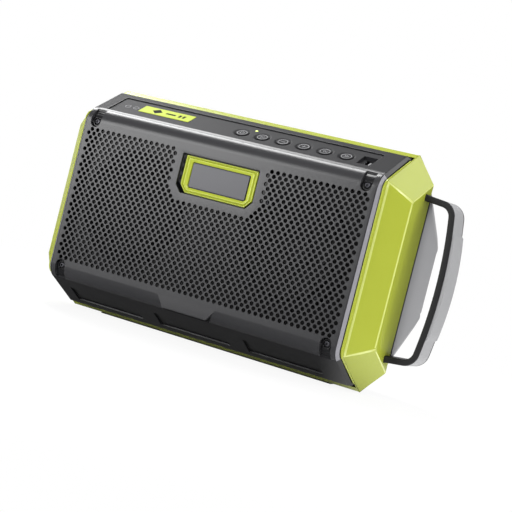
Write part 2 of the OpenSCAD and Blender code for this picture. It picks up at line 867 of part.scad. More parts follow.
module basket(side) placed() color("#3a3a3c") at_driver(side) {
    back = driver_depth - magnet_t;
    difference() {
        rotate_extrude($fn = 64) polygon([
            [opening_d / 2 - 2, -gasket_t - flange_t], [flange_d / 2, -gasket_t - flange_t],
            [flange_d / 2, -gasket_t], [opening_d / 2 - 0.4, -gasket_t],
            [opening_d / 2 - 0.4, 6], [cone_r - 6, back], [14, back], [14, back - flange_t],
            [cone_r - 7, back - flange_t], [opening_d / 2 - 2, 5]]);
        // Windows between the four arms
        for (a = [0:90:270]) rotate([0, 0, a]) translate([24, -14, 9]) cube([30, 28, 14]);
        flange_holes();
    }
}

module magnet(side) placed() color("#707074") at_driver(side) {
    back = driver_depth - magnet_t;
    translate([0, 0, back]) cylinder(d = magnet_d - 6, h = 3);
    translate([0, 0, back + 3]) cylinder(d = magnet_d, h = magnet_t - 6);
    translate([0, 0, driver_depth - 3]) cylinder(d = magnet_d - 6, h = 3);
}

module cone(side) placed() color("#28282a") at_driver(side) {
    rotate_extrude($fn = 64) polygon([
        [cone_r, -0.6], [cone_r, 0.2], [cone_neck + 1, 20], [cone_neck + 1, 32],
        [cone_neck, 32], [cone_neck, 19.4]]);
}

module surround(side) placed() color("#1a1a1a") at_driver(side) {
    rotate_extrude($fn = 64) {
        translate([cone_r + roll_w / 2, -0.6]) intersection() {
            difference() {
                circle(r = roll_w / 2 - 0.3);
                circle(r = roll_w / 2 - 1.1);
            }
            translate([-roll_w, -roll_w]) square([2 * roll_w, roll_w]);
        }
    }
}

module dust_cap(side) placed() color("#2e2e30") at_driver(side) {
    rotate_extrude($fn = 64) intersection() {
        translate([0, 30]) difference() {
            circle(r = 17);
            circle(r = 16);
        }
        translate([0, 12.4]) square([cone_neck - 0.3, 5.6]);
    }
}

module left_basket() basket(-1);
module right_basket() basket(1);
module left_magnet() magnet(-1);
module right_magnet() magnet(1);
module left_cone() cone(-1);
module right_cone() cone(1);
module left_surround() surround(-1);
module right_surround() surround(1);
module left_dust_cap() dust_cap(-1);
module right_dust_cap() dust_cap(1);

module driver_gaskets() placed() color("#222222") for (s = [-1, 1]) at_driver(s) {
    difference() {
        translate([0, 0, -gasket_t]) cylinder(d = flange_d - 1, h = gasket_t);
        translate([0, 0, -gasket_t - 1]) cylinder(d = opening_d, h = gasket_t + 2);
        flange_holes();
    }
}

module driver_screws() placed() color("#8a8a8e") at_driver_screws() {
    top = baffle_y - gasket_t - flange_t;
    rod_y(top - 1.6, top, 5.4);
    rod_y(top - eps, baffle_y + baffle_t, 2.8);
}

// ---- inside ----

module main_board() placed() color("#22643f") {
    difference() {
        along_y(amp_y, amp_y + board_t) square([amp_w, amp_h], center = true);
        four_corners(amp_screw_x, amp_screw_z) rod_y(amp_y - 1, amp_y + 3, 3.4);
    }
}

module board_screws() placed() color("#8a8a8e") four_corners(amp_screw_x, amp_screw_z) {
    y = amp_y + board_t;
    rod_y(y - 8, y + eps, 2.4);
    rod_y(y, y + 1.8, 5);
}

module heat_sink() placed() color("#b8babd") {
    y = amp_y + board_t;
    along_y(y, y + sink_base) square([sink_w, sink_h], center = true);
    for (i = [0:fins - 1])
        translate([i * (sink_w - fin_t) / (fins - 1) - sink_w / 2, y + sink_base - eps, -sink_h / 2])
            cube([fin_t, fin_h, sink_h]);
}

module battery_bay() placed() color("#2a2a2c") {
    y0 = channel_y - bay_d;
    difference() {
        union() {
            translate([-bay_w / 2, y0, -bay_h / 2]) cube([bay_w, bay_d, bay_h]);
            // Flange behind the rear wall
            translate([-bay_w / 2 - 4, channel_y - rear_wall - 2.3, -bay_h / 2 - 2])
                cube([bay_w + 8, 2, bay_h + 4]);
        }
        translate([-bay_w / 2 + bay_wall, y0 + bay_wall, -bay_h / 2 + bay_wall])
            cube([bay_w - 2 * bay_wall, bay_d, bay_h - 2 * bay_wall]);
    }
    // Guide rails for the battery pack
    both([1, 0, 0]) both([0, 0, 1])
        translate([bay_w / 2 - bay_wall - 3, y0 + bay_wall - eps, bay_h / 2 - bay_wall - 5])
            cube([3 + eps, bay_d - bay_wall - 3, 2]);
}

module battery_terminals() placed() color("#c8a24a") {
    y0 = channel_y - bay_d + bay_wall;
    for (x = [-12, 0, 12]) translate([x - 0.4, y0, -6]) cube([0.8, 12, 12]);
}

// ---- handle ----

// Outer outline of the handle band, moved in by t; it runs on inside the body
module handle_outline(t) {
    x0 = half_w - 60;
    x1 = half_w + handle_reach;
    z0 = handle_root_h / 2 + 60 * tan(leg_tilt);
    z1 = handle_root_h / 2 - handle_reach * tan(leg_tilt);
    offset(delta = -t) offset(r = handle_r, $fn = 72) offset(delta = -handle_r)
        intersection() {
            polygon([[x0, -z0], [x1, -z1], [x1, z1], [x0, z0]]);
            translate([x1 - bow_r, 0]) circle(r = bow_r, $fn = 240);
        }
}

// Handle band between two insets, right of x0
module handle_band(t0, t1, x0) {
    intersection() {
        difference() {
            handle_outline(t0);
            handle_outline(t1);
        }
        translate([x0, -far / 2]) square(far);
    }
}

// Slots in both end walls for the handle's ends
module handle_slots() {
    along_y(handle_y - fit, handle_end_y + fit) handle_band(-fit, core_t + fit, stub_x - fit);
}

module handle_core() placed() color("#1f1f21") {
    difference() {
        along_y(handle_y, handle_end_y) handle_band(0, core_t, stub_x);
        // Groove of the soft grip
        along_y(handle_y + grip_margin, handle_end_y - grip_margin)
            handle_band(-1, grip_t, half_w + grip_start);
        for (s = [-1, 1]) translate([leg_mid_x, 0, s * leg_mid_z])
            rod_y(0, far, shank_d + 2 * screw_fit);
    }
}

module handle_grip() placed() color("#a6a6a8") {
    along_y(handle_y + grip_margin, handle_end_y - grip_margin) {
        handle_band(0, grip_t, half_w + grip_start);
        // Crowned pad with chamfered ends
        intersection() {
            difference() {
                translate([half_w + handle_reach + pad_rise - pad_r, 0])
                    circle(r = pad_r, $fn = 240);
                handle_outline(eps);
            }
            translate([half_w + handle_reach - 4, 0]) polygon([[-4, -pad_h / 2], [1, -pad_h / 2],
                [12, 11 - pad_h / 2], [12, pad_h / 2 - 11], [1, pad_h / 2], [-4, pad_h / 2]]);
        }
    }
}

module handle_screws() placed() color("#8a8a8e") {
    for (s = [-1, 1]) translate([leg_mid_x, 0, s * leg_mid_z]) {
        rod_y(handle_y - head_h, handle_y, head_d);
        rod_y(handle_y - eps, handle_end_y + handle_bite, shank_d);
    }
}

outer_shell();
rear_housing();
front_chassis();
grille();
badge_frame();
badge_plate();
control_panel();
label_patch();
power_button();
mode_button();
volume_down_button();
volume_up_button();
previous_button();
next_button();
led_lens();
control_board();
tact_switches();
usb_shell();
usb_tongue();
front_screws();
left_basket();
right_basket();
left_magnet();
right_magnet();
left_cone();
right_cone();
left_surround();
right_surround();
left_dust_cap();
right_dust_cap();
driver_gaskets();
driver_screws();
main_board();
board_screws();
heat_sink();
battery_bay();
battery_terminals();
handle_core();
handle_grip();
handle_screws();
rear_screws();
body_seal();
rubber_foot();
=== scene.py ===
# %% [markdown]
# # Jobsite speaker radio
#
# This lesson dresses a jobsite speaker radio: a dark wedge-fronted unit with a perforated
# grille, set in a green shell, with a grey rear housing and a carrying handle on one side.
# The solids come from a CAD model, and stay where it puts them. Blender gives each piece
# its rounded edges, its small details and its material.

# %% Load the CAD model
import json
import math

import bmesh
import bpy
import numpy as np
from mathutils import Matrix, Vector
from mathutils.geometry import delaunay_2d_cdt
from mathutils.kdtree import KDTree


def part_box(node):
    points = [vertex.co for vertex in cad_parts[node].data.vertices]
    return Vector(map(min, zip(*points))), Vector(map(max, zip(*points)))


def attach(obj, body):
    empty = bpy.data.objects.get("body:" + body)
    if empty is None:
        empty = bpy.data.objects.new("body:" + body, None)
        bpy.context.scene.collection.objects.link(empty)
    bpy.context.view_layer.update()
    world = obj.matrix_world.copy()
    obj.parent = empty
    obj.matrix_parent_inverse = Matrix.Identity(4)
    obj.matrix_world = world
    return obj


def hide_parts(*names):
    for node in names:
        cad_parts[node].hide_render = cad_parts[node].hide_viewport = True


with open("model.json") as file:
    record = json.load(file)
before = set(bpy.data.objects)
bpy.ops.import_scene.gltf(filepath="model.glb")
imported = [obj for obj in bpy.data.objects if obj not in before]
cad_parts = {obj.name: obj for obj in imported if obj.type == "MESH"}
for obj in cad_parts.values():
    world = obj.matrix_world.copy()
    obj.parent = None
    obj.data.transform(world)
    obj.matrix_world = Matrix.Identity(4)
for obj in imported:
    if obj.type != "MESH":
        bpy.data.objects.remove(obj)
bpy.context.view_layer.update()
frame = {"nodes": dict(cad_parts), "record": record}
MM = 0.001

# %% [markdown]
# ## Where the radio's own axes lie
#
# Sizes on the real radio are easiest to read from its front: x along the width, y back
# from the grille and z up from mid-height. The CAD model stands on its foot, so one
# function turns the radio's own millimetres into scene metres. The grille's box gives the
# shift, so nothing is measured twice. A second function does the same for the sloping
# control deck: x along the width, s up the slope from the rolled edge, n out of its face.

# %% The radio's own axes
grille_low, grille_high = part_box("grille")
FRONT_Y = grille_low.y
MIDDLE_Z = (grille_low.z + grille_high.z) / 2
ROLL_R, ROLL_Z, SLOPE = 14.5, 68, math.radians(29)
SLOPE_Y = ROLL_R * (1 - math.sin(SLOPE))
SLOPE_Z = ROLL_Z + ROLL_R * math.cos(SLOPE)


def at(x, y, z):
    """A point in scene metres, from the radio's own millimetres."""
    return Vector((x * MM, FRONT_Y + y * MM, MIDDLE_Z + z * MM))


def on_deck(x, s, n):
    """A point of the control deck, s up its slope and n out of its face."""
    return at(x, SLOPE_Y + s * math.cos(SLOPE) - n * math.sin(SLOPE),
              SLOPE_Z + s * math.sin(SLOPE) + n * math.cos(SLOPE))


print("front plane", round(FRONT_Y / MM, 2), "mid-height", round(MIDDLE_Z / MM, 2))

# %% [markdown]
# ## Camera
#
# A long lens from slightly right of the front keeps the perspective gentle, as product
# pictures do. The camera is rolled, so the radio seems to lean in the frame. It is set
# by angles round an aim point, which is easier to adjust than three rotations.

# %% Camera
VIEW_AZIMUTH, VIEW_ELEVATION, VIEW_ROLL = 27.10, 2.02, -14.21
VIEW_DISTANCE, VIEW_LENS = 1.2386, 98.97
AIM = at(44.6, 22.3, -13.7)


def aim_camera(camera):
    az, el, roll = (math.radians(v) for v in (VIEW_AZIMUTH, VIEW_ELEVATION, VIEW_ROLL))
    back = Vector((math.sin(az) * math.cos(el), -math.cos(az) * math.cos(el), math.sin(el)))
    right = Vector((math.cos(az), math.sin(az), 0))
    up = back.cross(right)
    rolled_right = math.cos(roll) * right - math.sin(roll) * up
    rolled_up = math.sin(roll) * right + math.cos(roll) * up
    turn = Matrix((rolled_right, rolled_up, back)).transposed().to_4x4()
    camera.matrix_world = Matrix.Translation(AIM + back * VIEW_DISTANCE) @ turn


def in_scene(name, data):
    """A new object in the scene that shows the data."""
    obj = bpy.data.objects.new(name, data)
    bpy.context.scene.collection.objects.link(obj)
    return obj


lens = bpy.data.cameras.new("camera")
lens.lens, lens.sensor_width = VIEW_LENS, 36
lens.clip_start, lens.clip_end = 0.05, 40
camera = in_scene("camera", lens)
aim_camera(camera)
bpy.context.scene.camera = camera

# %% [markdown]
# ## Colours and nodes
#
# Hex codes are sRGB, as a colour chart prints them, while shaders work with linear light,
# so one function converts them. A second one adds a node with its settings and links, to
# shaders and to geometry nodes alike. The rest are short for what every tree needs.

# %% Helpers for node trees


def linear(code):
    """The linear colour of an sRGB hex code."""
    parts = [int(code[i:i + 2], 16) / 255 for i in (1, 3, 5)]
    return [c / 12.92 if c <= 0.04045 else ((c + 0.055) / 1.055) ** 2.4 for c in parts] + [1]


def add(tree, kind, settings=None, **inputs):
    """A node with its settings. An input is a value, or the socket that feeds it."""
    node = tree.nodes.new(kind)
    for name, value in (settings or {}).items():
        setattr(node, name, value)
    for key, value in inputs.items():
        socket = node.inputs[int(key[1:]) if key[1:].isdigit() else key.replace("_", " ")]
        if isinstance(value, bpy.types.NodeSocket):
            tree.links.new(value, socket)
        else:
            socket.default_value = value
    return node


def maths(tree, operation, one, two):
    """The number that an operation makes of two numbers."""
    return add(tree, "ShaderNodeMath", {"operation": operation}, _0=one, _1=two).outputs[0]


def soft_step(tree, value, start, end, low, high):
    """A number that goes softly from low to high while the value goes from start to end."""
    return add(tree, "ShaderNodeMapRange", {"interpolation_type": "SMOOTHSTEP"}, Value=value,
               From_Min=start, From_Max=end, To_Min=low, To_Max=high).outputs[0]


def new_material(name):
    """An empty material, its tree, and the place on the object for its patterns."""
    made = bpy.data.materials.new(name)
    made.use_nodes = True
    made.node_tree.nodes.clear()
    return made, made.node_tree, add(made.node_tree, "ShaderNodeTexCoord").outputs["Object"]


def shaded(material, shader="ShaderNodeBsdfPrincipled", **inputs):
    """The material, with a shader and its inputs as its surface."""
    surface = add(material.node_tree, shader, **inputs)
    add(material.node_tree, "ShaderNodeOutputMaterial", Surface=surface.outputs[0])
    return material

# %% [markdown]
# ## Floor and light
#
# The radio stands on white studio paper that also hangs behind it. The camera sees plain
# white, with a faint shadow under the radio. Reflections see white behind the radio too,
# but a dim room in front of it, which is what keeps dark plastic dark. The lamps are soft
# boxes. One at the upper left draws the bright band on the upper roll. A low one at the
# left shades the grille from left to right. A large one in front lights the green shell.
# A narrow one on the right and a small one behind it draw the thin lines on its corners,
# and one at the upper right lights the upper facet, as the glowing paper does the lower.

# %% Floor
ROOM_LIGHT, ROOM_MIRROR, PAPER_GLOW = 0.35, 0.12, 1.8


def mirror_rays(tree, path):
    """Reflections and rays through clear pieces."""
    return maths(tree, "MAXIMUM", path.outputs["Is Glossy Ray"], path.outputs["Is Transmission Ray"])


def seen_white(tree, path, way):
    """White to the camera. To reflections it is white within some 30 degrees of the
    backdrop's middle, which lies behind the radio, and dim elsewhere."""
    az = math.radians(VIEW_AZIMUTH)
    unit = add(tree, "ShaderNodeVectorMath", {"operation": "NORMALIZE"}, _0=way)
    off = add(tree, "ShaderNodeVectorMath", {"operation": "DOT_PRODUCT"}, _0=unit.outputs["Vector"],
              _1=(-math.sin(az), math.cos(az), 0))
    behind = soft_step(tree, off.outputs["Value"], 0.8, 0.95, ROOM_MIRROR, 1.0)
    return maths(tree, "MAXIMUM", path.outputs["Is Camera Ray"], behind)


paper_white, tree, where = new_material("studio_paper")
path = add(tree, "ShaderNodeLightPath")
away = add(tree, "ShaderNodeVectorMath", {"operation": "LENGTH"}, _0=where).outputs["Value"]
direct = maths(tree, "MULTIPLY", path.outputs["Is Camera Ray"], soft_step(tree, away, 0.2, 0.7, 0.9, 1.0))
paper = add(tree, "ShaderNodeBsdfDiffuse", Color=linear("#f4f4f4"))
# Beside the radio's right end the paper glows like a light table, unseen by the camera,
# which brightens the lower facet from below
right_of = add(tree, "ShaderNodeSeparateXYZ", Vector=where).outputs["X"]
beside = maths(tree, "MULTIPLY", soft_step(tree, right_of, 0.1, 0.22, 0.0, 1.0),
               soft_step(tree, away, 0.25, 0.6, PAPER_GLOW, 0.0))
lit_side = maths(tree, "MULTIPLY", beside, maths(tree, "SUBTRACT", 1.0, path.outputs["Is Camera Ray"]))
strength = maths(tree, "MAXIMUM", seen_white(tree, path, where), lit_side)
shown = maths(tree, "MAXIMUM", direct, mirror_rays(tree, path))
glow = add(tree, "ShaderNodeEmission", Color=(1, 1, 1, 1), Strength=strength)
shaded(paper_white, "ShaderNodeMixShader", Fac=maths(tree, "MAXIMUM", shown, lit_side),
       _1=paper.outputs[0], _2=glow.outputs[0])
FLOOR_HALF = 9
mesh = bpy.data.meshes.new("floor")
mesh.from_pydata([(i * FLOOR_HALF, j * FLOOR_HALF, 0) for i, j in ((-1, -1), (1, -1), (1, 1), (-1, 1))],
                 [], [(0, 1, 2, 3)])
mesh.materials.append(paper_white)
in_scene("floor", mesh)

# %% World and soft boxes
world = bpy.data.worlds.new("studio")
bpy.context.scene.world = world
world.use_nodes = True
tree = world.node_tree
tree.nodes.clear()
path = add(tree, "ShaderNodeLightPath")
way = add(tree, "ShaderNodeTexCoord").outputs["Generated"]
seen = maths(tree, "MAXIMUM", path.outputs["Is Camera Ray"], mirror_rays(tree, path))
soft = add(tree, "ShaderNodeBackground", Color=(1, 1, 1, 1), Strength=ROOM_LIGHT)
white = add(tree, "ShaderNodeBackground", Color=(1, 1, 1, 1), Strength=seen_white(tree, path, way))
sky = add(tree, "ShaderNodeMixShader", Fac=seen, _1=soft.outputs[0], _2=white.outputs[0])
add(tree, "ShaderNodeOutputWorld", Surface=sky.outputs[0])


def soft_box(name, place, width, height, power):
    """A rectangular lamp that faces the middle of the radio."""
    lamp = bpy.data.lights.new(name, "AREA")
    lamp.shape, lamp.size, lamp.size_y, lamp.energy = "RECTANGLE", width, height, power
    obj = in_scene(name, lamp)
    obj.location = place
    obj.rotation_euler = (at(0, 50, 0) - Vector(place)).to_track_quat("-Z", "Y").to_euler()


soft_box("upper_left_box", (-0.67, 0.31, 1.3), 0.42, 1.4, 21)
soft_box("low_left_box", (-1.0, -1.3, 0.42), 1.0, 0.7, 13)
soft_box("front_box", (0.6, -1.5, 1.0), 1.0, 0.7, 16)
soft_box("right_box", (1.25, 0.33, 0.4), 0.15, 1.0, 4)
soft_box("facet_box", (1.25, 0, 0.89), 0.4, 0.4, 4)
soft_box("back_box", (0.67, 0.65, 1.15), 0.7, 0.7, 4)
bpy.context.scene.view_settings.view_transform = "Standard"

# %% [markdown]
# ## Moulded plastics
#
# Most of the radio is ABS from steel moulds. The mould is spark-eroded, which leaves a
# fine even grain that breaks up the gloss, and thick walls sink and vary a little in tone.
# One function makes them all: a fine noise for the grain, a broad one for the tone and
# the gloss, and a Principled shader at the index of refraction of the plastic.

# %% Moulded plastics


def between_colours(tree, share, colour, shade):
    """A colour between two hex codes, by a share."""
    return add(tree, "ShaderNodeMix", {"data_type": "RGBA"}, _0=share, _6=linear(colour),
               _7=linear(shade)).outputs[2]


def moulded(name, colour, shade, roughness, grain=0.35, depth=0.03, ior=1.53, sheen=0.0, gloss=0.5):
    """Plastic or rubber with eroded grain of a size and depth in mm, between two colours."""
    made, tree, where = new_material(name)
    fine = add(tree, "ShaderNodeTexNoise", Vector=where, Scale=1 / (grain * MM), Detail=3.0)
    broad = add(tree, "ShaderNodeTexNoise", Vector=where, Scale=1 / (45 * MM), Detail=4.0, Roughness=0.6)
    tone = between_colours(tree, broad.outputs[0], colour, shade)
    speck = add(tree, "ShaderNodeMapRange", Value=fine.outputs[0], To_Min=roughness - 0.06,
                To_Max=roughness + 0.08)
    bump = add(tree, "ShaderNodeBump", Height=fine.outputs[0], Strength=0.5, Distance=depth * MM)
    return shaded(made, Base_Color=tone, Roughness=speck.outputs[0], IOR=ior, Normal=bump.outputs[0],
                  Sheen_Weight=sheen, Specular_IOR_Level=gloss)


finishes = {
    # Shell: lime ABS, satin
    "shell_green": moulded("lime_abs", "#a1aa38", "#9aa332", 0.25, gloss=0.4),
    "rear_grey": moulded("grey_abs", "#949496", "#8c8c8e", 0.38, gloss=0.4),
    # Front unit: dark grey ABS with a slightly finer grain
    "chassis_dark": moulded("graphite_abs", "#1a1a1c", "#161618", 0.29, grain=0.3, gloss=0.35),
    "panel_dark": moulded("panel_abs", "#2a2a2c", "#252527", 0.55, grain=0.3, gloss=0.1),
    "bay_black": moulded("black_nylon", "#2b2b2d", "#242426", 0.45),
    "handle_black": moulded("black_glass_filled_nylon", "#19191b", "#141416", 0.42, grain=0.4, depth=0.04,
                            gloss=0.3),
    # Grille: polypropylene with satin paint
    "grille_dark": moulded("grille_paint", "#333335", "#2f2f31", 0.28, grain=0.25, depth=0.02),
    # Badge: polished mould, so hardly any grain
    "badge_green": moulded("lime_gloss_abs", "#a8b23a", "#a1ab34", 0.18, depth=0.004),
    "badge_dark": moulded("slate_gloss_abs", "#434348", "#3e3e43", 0.3, depth=0.006),
    "port_white": moulded("pale_lcp", "#8c8c8e", "#848486", 0.4),
    # Rubbers and foams: no clear gloss, a little sheen
    "grip_grey": moulded("grey_thermoplastic_rubber", "#929294", "#89898b", 0.62, grain=0.5, depth=0.05,
                         sheen=0.1),
    "button_black": moulded("black_silicone", "#262628", "#222224", 0.55, grain=0.3, gloss=0.1),
    "foot_rubber": moulded("black_rubber", "#1d1d1e", "#161617", 0.8, grain=0.6, depth=0.08),
    "seal_rubber": moulded("seal_foam", "#141415", "#101011", 0.9, grain=0.5, depth=0.08),
    "gasket_foam": moulded("gasket_foam", "#1b1b1c", "#151516", 0.95, grain=0.5, depth=0.15),
    "surround_rubber": moulded("butyl_rubber", "#1a1a1b", "#141415", 0.6),
    "label_green": moulded("lime_label_film", "#adbb34", "#a6b42e", 0.5, depth=0.004, gloss=0.1),
}
print(len(finishes), "plastics and rubbers")

# %% [markdown]
# ## Metals
#
# Screws are zinc-plated steel, the port shell and switches are stamped sheet, and the
# terminals are brass. Drawing and stamping leave fine streaks along one way, so the noise
# is squeezed along it. A metal has no clear coat of colour: its base colour is its
# reflection, and its gloss comes from how fine the streaks are.

# %% Metals
# The width, depth and length of a streak in mm
STREAK = (0.15, 0.15, 4.0)


def metal(name, colour, roughness):
    """Bare or plated metal with streaks."""
    made, tree, where = new_material(name)
    squeezed = add(tree, "ShaderNodeMapping", {"vector_type": "POINT"}, Vector=where,
                   Scale=tuple(1 / (s * MM) for s in STREAK))
    noise = add(tree, "ShaderNodeTexNoise", Vector=squeezed.outputs[0], Scale=1.0, Detail=3.0)
    speck = add(tree, "ShaderNodeMapRange", Value=noise.outputs[0], To_Min=roughness - 0.08,
                To_Max=roughness + 0.12)
    bump = add(tree, "ShaderNodeBump", Height=noise.outputs[0], Strength=0.4, Distance=0.01 * MM)
    return shaded(made, Base_Color=linear(colour), Metallic=1.0, Roughness=speck.outputs[0],
                  Normal=bump.outputs[0])


finishes.update({
    "screw_steel": metal("zinc_plated_steel", "#b9bbbf", 0.34),
    "screw_dark": metal("black_zinc_steel", "#4c4c50", 0.38),
    "switch_metal": metal("stamped_steel", "#c4c4c4", 0.32),
    "port_metal": metal("black_nickel_steel", "#3c3c3f", 0.4),
    "heat_sink_metal": metal("extruded_aluminium", "#c6c8ca", 0.42),
    "contact_brass": metal("plated_brass", "#d9b768", 0.25),
    "basket_black": metal("stove_enamelled_steel", "#2f2f31", 0.5),
})
print(len(finishes), "finishes so far")

# %% [markdown]
# ## Paper, ferrite, circuit board and light
#
# A loudspeaker's cone is pressed paper pulp, so it shows short fibres. Its magnet is a
# ferrite ring, dull and grainy. A circuit board is glass cloth under green lacquer, with
# a raised maze of copper tracks, for which a stepped cell pattern does. The status
# light's lens is clear and lit from inside, so it glows lime.

# %% Paper, ferrite, board and light


def pulp(name, colour, shade, roughness, cell):
    """A dull granular solid with cells of a size in mm."""
    made, tree, where = new_material(name)
    cells = add(tree, "ShaderNodeTexVoronoi", Vector=where, Scale=1 / (cell * MM))
    tone = between_colours(tree, cells.outputs["Distance"], colour, shade)
    bump = add(tree, "ShaderNodeBump", Height=cells.outputs["Distance"], Strength=0.6, Distance=0.08 * MM)
    return shaded(made, Base_Color=tone, Roughness=roughness, Normal=bump.outputs[0])


def circuit_board(name):
    made, tree, where = new_material(name)
    tracks = add(tree, "ShaderNodeTexBrick", {"offset": 0.37, "squash": 1.6, "squash_frequency": 3},
                 Vector=where, Scale=1 / (9 * MM), Mortar_Size=0.05, Color1=linear("#1f6b3f"),
                 Color2=linear("#1a5c36"), Mortar=linear("#3f8f55"))
    bump = add(tree, "ShaderNodeBump", Height=tracks.outputs["Fac"], Strength=0.3, Distance=0.04 * MM)
    return shaded(made, Base_Color=tracks.outputs["Color"], Roughness=0.3, IOR=1.5, Normal=bump.outputs[0])


def lit_lens(name):
    """Clear acrylic that glows at its domed end only, where the light comes out."""
    made, tree, where = new_material(name)
    haze = add(tree, "ShaderNodeTexNoise", Vector=where, Scale=1 / (0.8 * MM))
    tint = between_colours(tree, haze.outputs[0], "#e6f29a", "#c8e458")
    return shaded(made, Base_Color=tint, Roughness=0.12, IOR=1.49, Emission_Color=linear("#dcf48a"),
                  Emission_Strength=0.55)


finishes.update({
    "cone_paper": pulp("pressed_paper", "#262628", "#343436", 0.85, 0.5),
    "magnet_grey": pulp("sintered_ferrite", "#58585c", "#6c6c70", 0.55, 0.3),
    "board_green": circuit_board("lacquered_circuit_board"),
    "led_clear": moulded("clear_acrylic", "#aab27c", "#a0a872", 0.15, depth=0.002, ior=1.49),
})
# Finishes that only part of a piece shows
finishes["lit"] = lit_lens("lit_acrylic")
# A paler lime for the middle of the shell's wide rounds: painted highlight
finishes["shell_edge"] = moulded("lime_abs_painted_highlight", "#c8d076", "#c2ca6c", 0.22, gloss=0.6)
# Pale grey for the upright edge round the front unit's ends: painted highlight
finishes["edge_band"] = moulded("pale_grey_painted_highlight", "#8a898f", "#828187", 0.4)
# Near black for the walls of the grille's holes: painted shade
finishes["bare_black"] = moulded("black_painted_hole_shade", "#0c0c0d", "#080809", 0.7)
finishes["print_grey"] = moulded("pale_pad_printing_ink", "#a4a4a7", "#9a9a9d", 0.5, depth=0.004)
finishes["print_dark"] = moulded("dark_pad_printing_ink", "#15170a", "#121408", 0.6, depth=0.004, gloss=0.05)
slot_of = {s["node"]: s["material_slot"] for s in frame["record"]["subparts"]}
body_of = {node: body for body, nodes in frame["record"]["behaviour"]["bodies"].items() for node in nodes}
for name, node in frame["nodes"].items():
    node.data.materials.clear()
    node.data.materials.append(finishes[slot_of[name]])
print("materials on", len(frame["nodes"]), "CAD nodes")

# %% [markdown]
# ## From a CAD solid to a softened piece
#
# Moulded parts have no knife edges: every corner of the tool is rounded a little, and that
# thin round is what catches the light. A CAD mesh is loose triangles, so a copy is joined
# and its flat faces are made whole first. Then the edges that matter are bevelled in code,
# and normals are weighted by area, so big flats stay flat while rounds stay smooth.

# %% From mesh to piece


def flattened(obj):
    """Turns an object's modifiers into plain mesh."""
    graph = bpy.context.evaluated_depsgraph_get()
    result = bpy.data.meshes.new_from_object(obj.evaluated_get(graph))
    old = obj.data
    obj.modifiers.clear()
    obj.data = result
    bpy.data.meshes.remove(old)


def meshed(name, work):
    """The mesh of a bmesh, which is freed."""
    mesh = bpy.data.meshes.new(name)
    work.to_mesh(mesh)
    work.free()
    return mesh


def finished(name, work, node, replaces=True, smooth=40, paint=None, paints=()):
    """A piece from a bmesh, on the body of a CAD node and in its slot, which stands for
    the node or only adds to it. Its finish is the slot's or paint. Faces with a material
    index above 0 take those in paints."""
    mesh = meshed(name, work)
    mesh.shade_smooth()
    mesh.set_sharp_from_angle(angle=math.radians(smooth))
    for each in (paint or slot_of[node], *paints):
        mesh.materials.append(finishes[each])
    obj = in_scene(name, mesh)
    obj.modifiers.new("weight", "WEIGHTED_NORMAL").keep_sharp = True
    flattened(obj)
    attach(obj, body_of[node])
    if replaces:
        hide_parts(node)
    print(name, sum(len(p.vertices) - 2 for p in obj.data.polygons), "triangles")


def joined_copy(node):
    """A CAD node's mesh with its loose triangles joined and its flat faces whole."""
    work = bmesh.new()
    work.from_mesh(frame["nodes"][node].data)
    bmesh.ops.remove_doubles(work, verts=work.verts, dist=0.003 * MM)
    bmesh.ops.dissolve_limit(work, angle_limit=math.radians(0.7), verts=work.verts, edges=work.edges,
                             use_dissolve_boundaries=False)
    return work

# %% Cuts and rounds
ALONG_X, ALONG_Y, ALONG_Z = Vector((1, 0, 0)), Vector((0, 1, 0)), Vector((0, 0, 1))


def cut(work, faces, place, normal, near=0.001):
    """Cuts faces along a plane. Points nearer than near, in mm, count as on it."""
    bmesh.ops.bisect_plane(work, geom=list(dict.fromkeys(g for f in faces for g in (f, *f.edges, *f.verts))),
                           dist=near * MM, plane_co=place, plane_no=normal)


def cut_across(work, axis, distance):
    """Cuts long or busy faces at a distance to both sides of the middle, so that none bends
    round an opening, where a rounded corner could turn it inside out."""
    for side in (-1, 1):
        wide = [f for f in work.faces
                if len(f.verts) > 8 or max(e.calc_length() for e in f.edges) > 60 * MM]
        cut(work, wide, at(*(side * distance * axis)), axis)


def bevelled(work, edges, width, segments):
    """The faces of a round along edges. The width is in mm."""
    return bmesh.ops.bevel(work, geom=edges, offset=width * MM, offset_type="OFFSET", segments=segments,
                           profile=0.5, affect="EDGES", clamp_overlap=False)["faces"]


def round_edges(work, width, segments, wanted, angle=12, middle=0):
    """Rounds the sharp edges for which wanted(edge) holds. The width is in mm. The middle
    faces of each round take the material index middle."""
    edges = [e for e in work.edges if e.is_manifold and e.calc_face_angle(0) > math.radians(angle)
             and wanted(e)]
    strip = set(bevelled(work, edges, width, segments))
    for face in strip if middle else ():
        sides = sorted(face.edges, key=lambda e: e.calc_length())[-2:]
        if all(beside in strip for e in sides for beside in e.link_faces):
            face.material_index = middle
    print(len(edges), "edges of", width, "mm")

# %% Planes of a form


def plane_through(p, q, r):
    normal = (q - p).cross(r - p).normalized()
    return normal, normal.dot(p)


def mirrored(planes):
    """Planes and their mirror images to the left and to below mid-height."""
    found = []
    for (normal, distance) in planes:
        point = normal * distance
        for i in (1, -1):
            for j in (1, -1):
                n = Vector((i * normal.x, normal.y, j * normal.z))
                p = Vector((i * point.x, point.y, MIDDLE_Z + j * (point.z - MIDDLE_Z)))
                if all((n - m).length > 1e-3 for m, _ in found):
                    found.append((n, n.dot(p)))
    return found


def between(planes):
    """A test for edges that lie on two of the planes."""
    def test(edge):
        ends = [v.co for v in edge.verts]
        return sum(all(abs(n.dot(co) - d) < 0.04 * MM for co in ends) for n, d in planes) >= 2
    return test


def hull_planes(work):
    """The planes of a form's convex hull, found in code."""
    hull = bmesh.new()
    for v in work.verts:
        hull.verts.new(v.co)
    bmesh.ops.convex_hull(hull, input=hull.verts)
    found = []
    for face in hull.faces:
        n, d = face.normal.copy(), face.normal.dot(face.verts[0].co)
        if face.calc_area() > 20 * MM ** 2 and all((n - m).length > 0.01 for m, _ in found):
            found.append((n, d))
    hull.free()
    return found
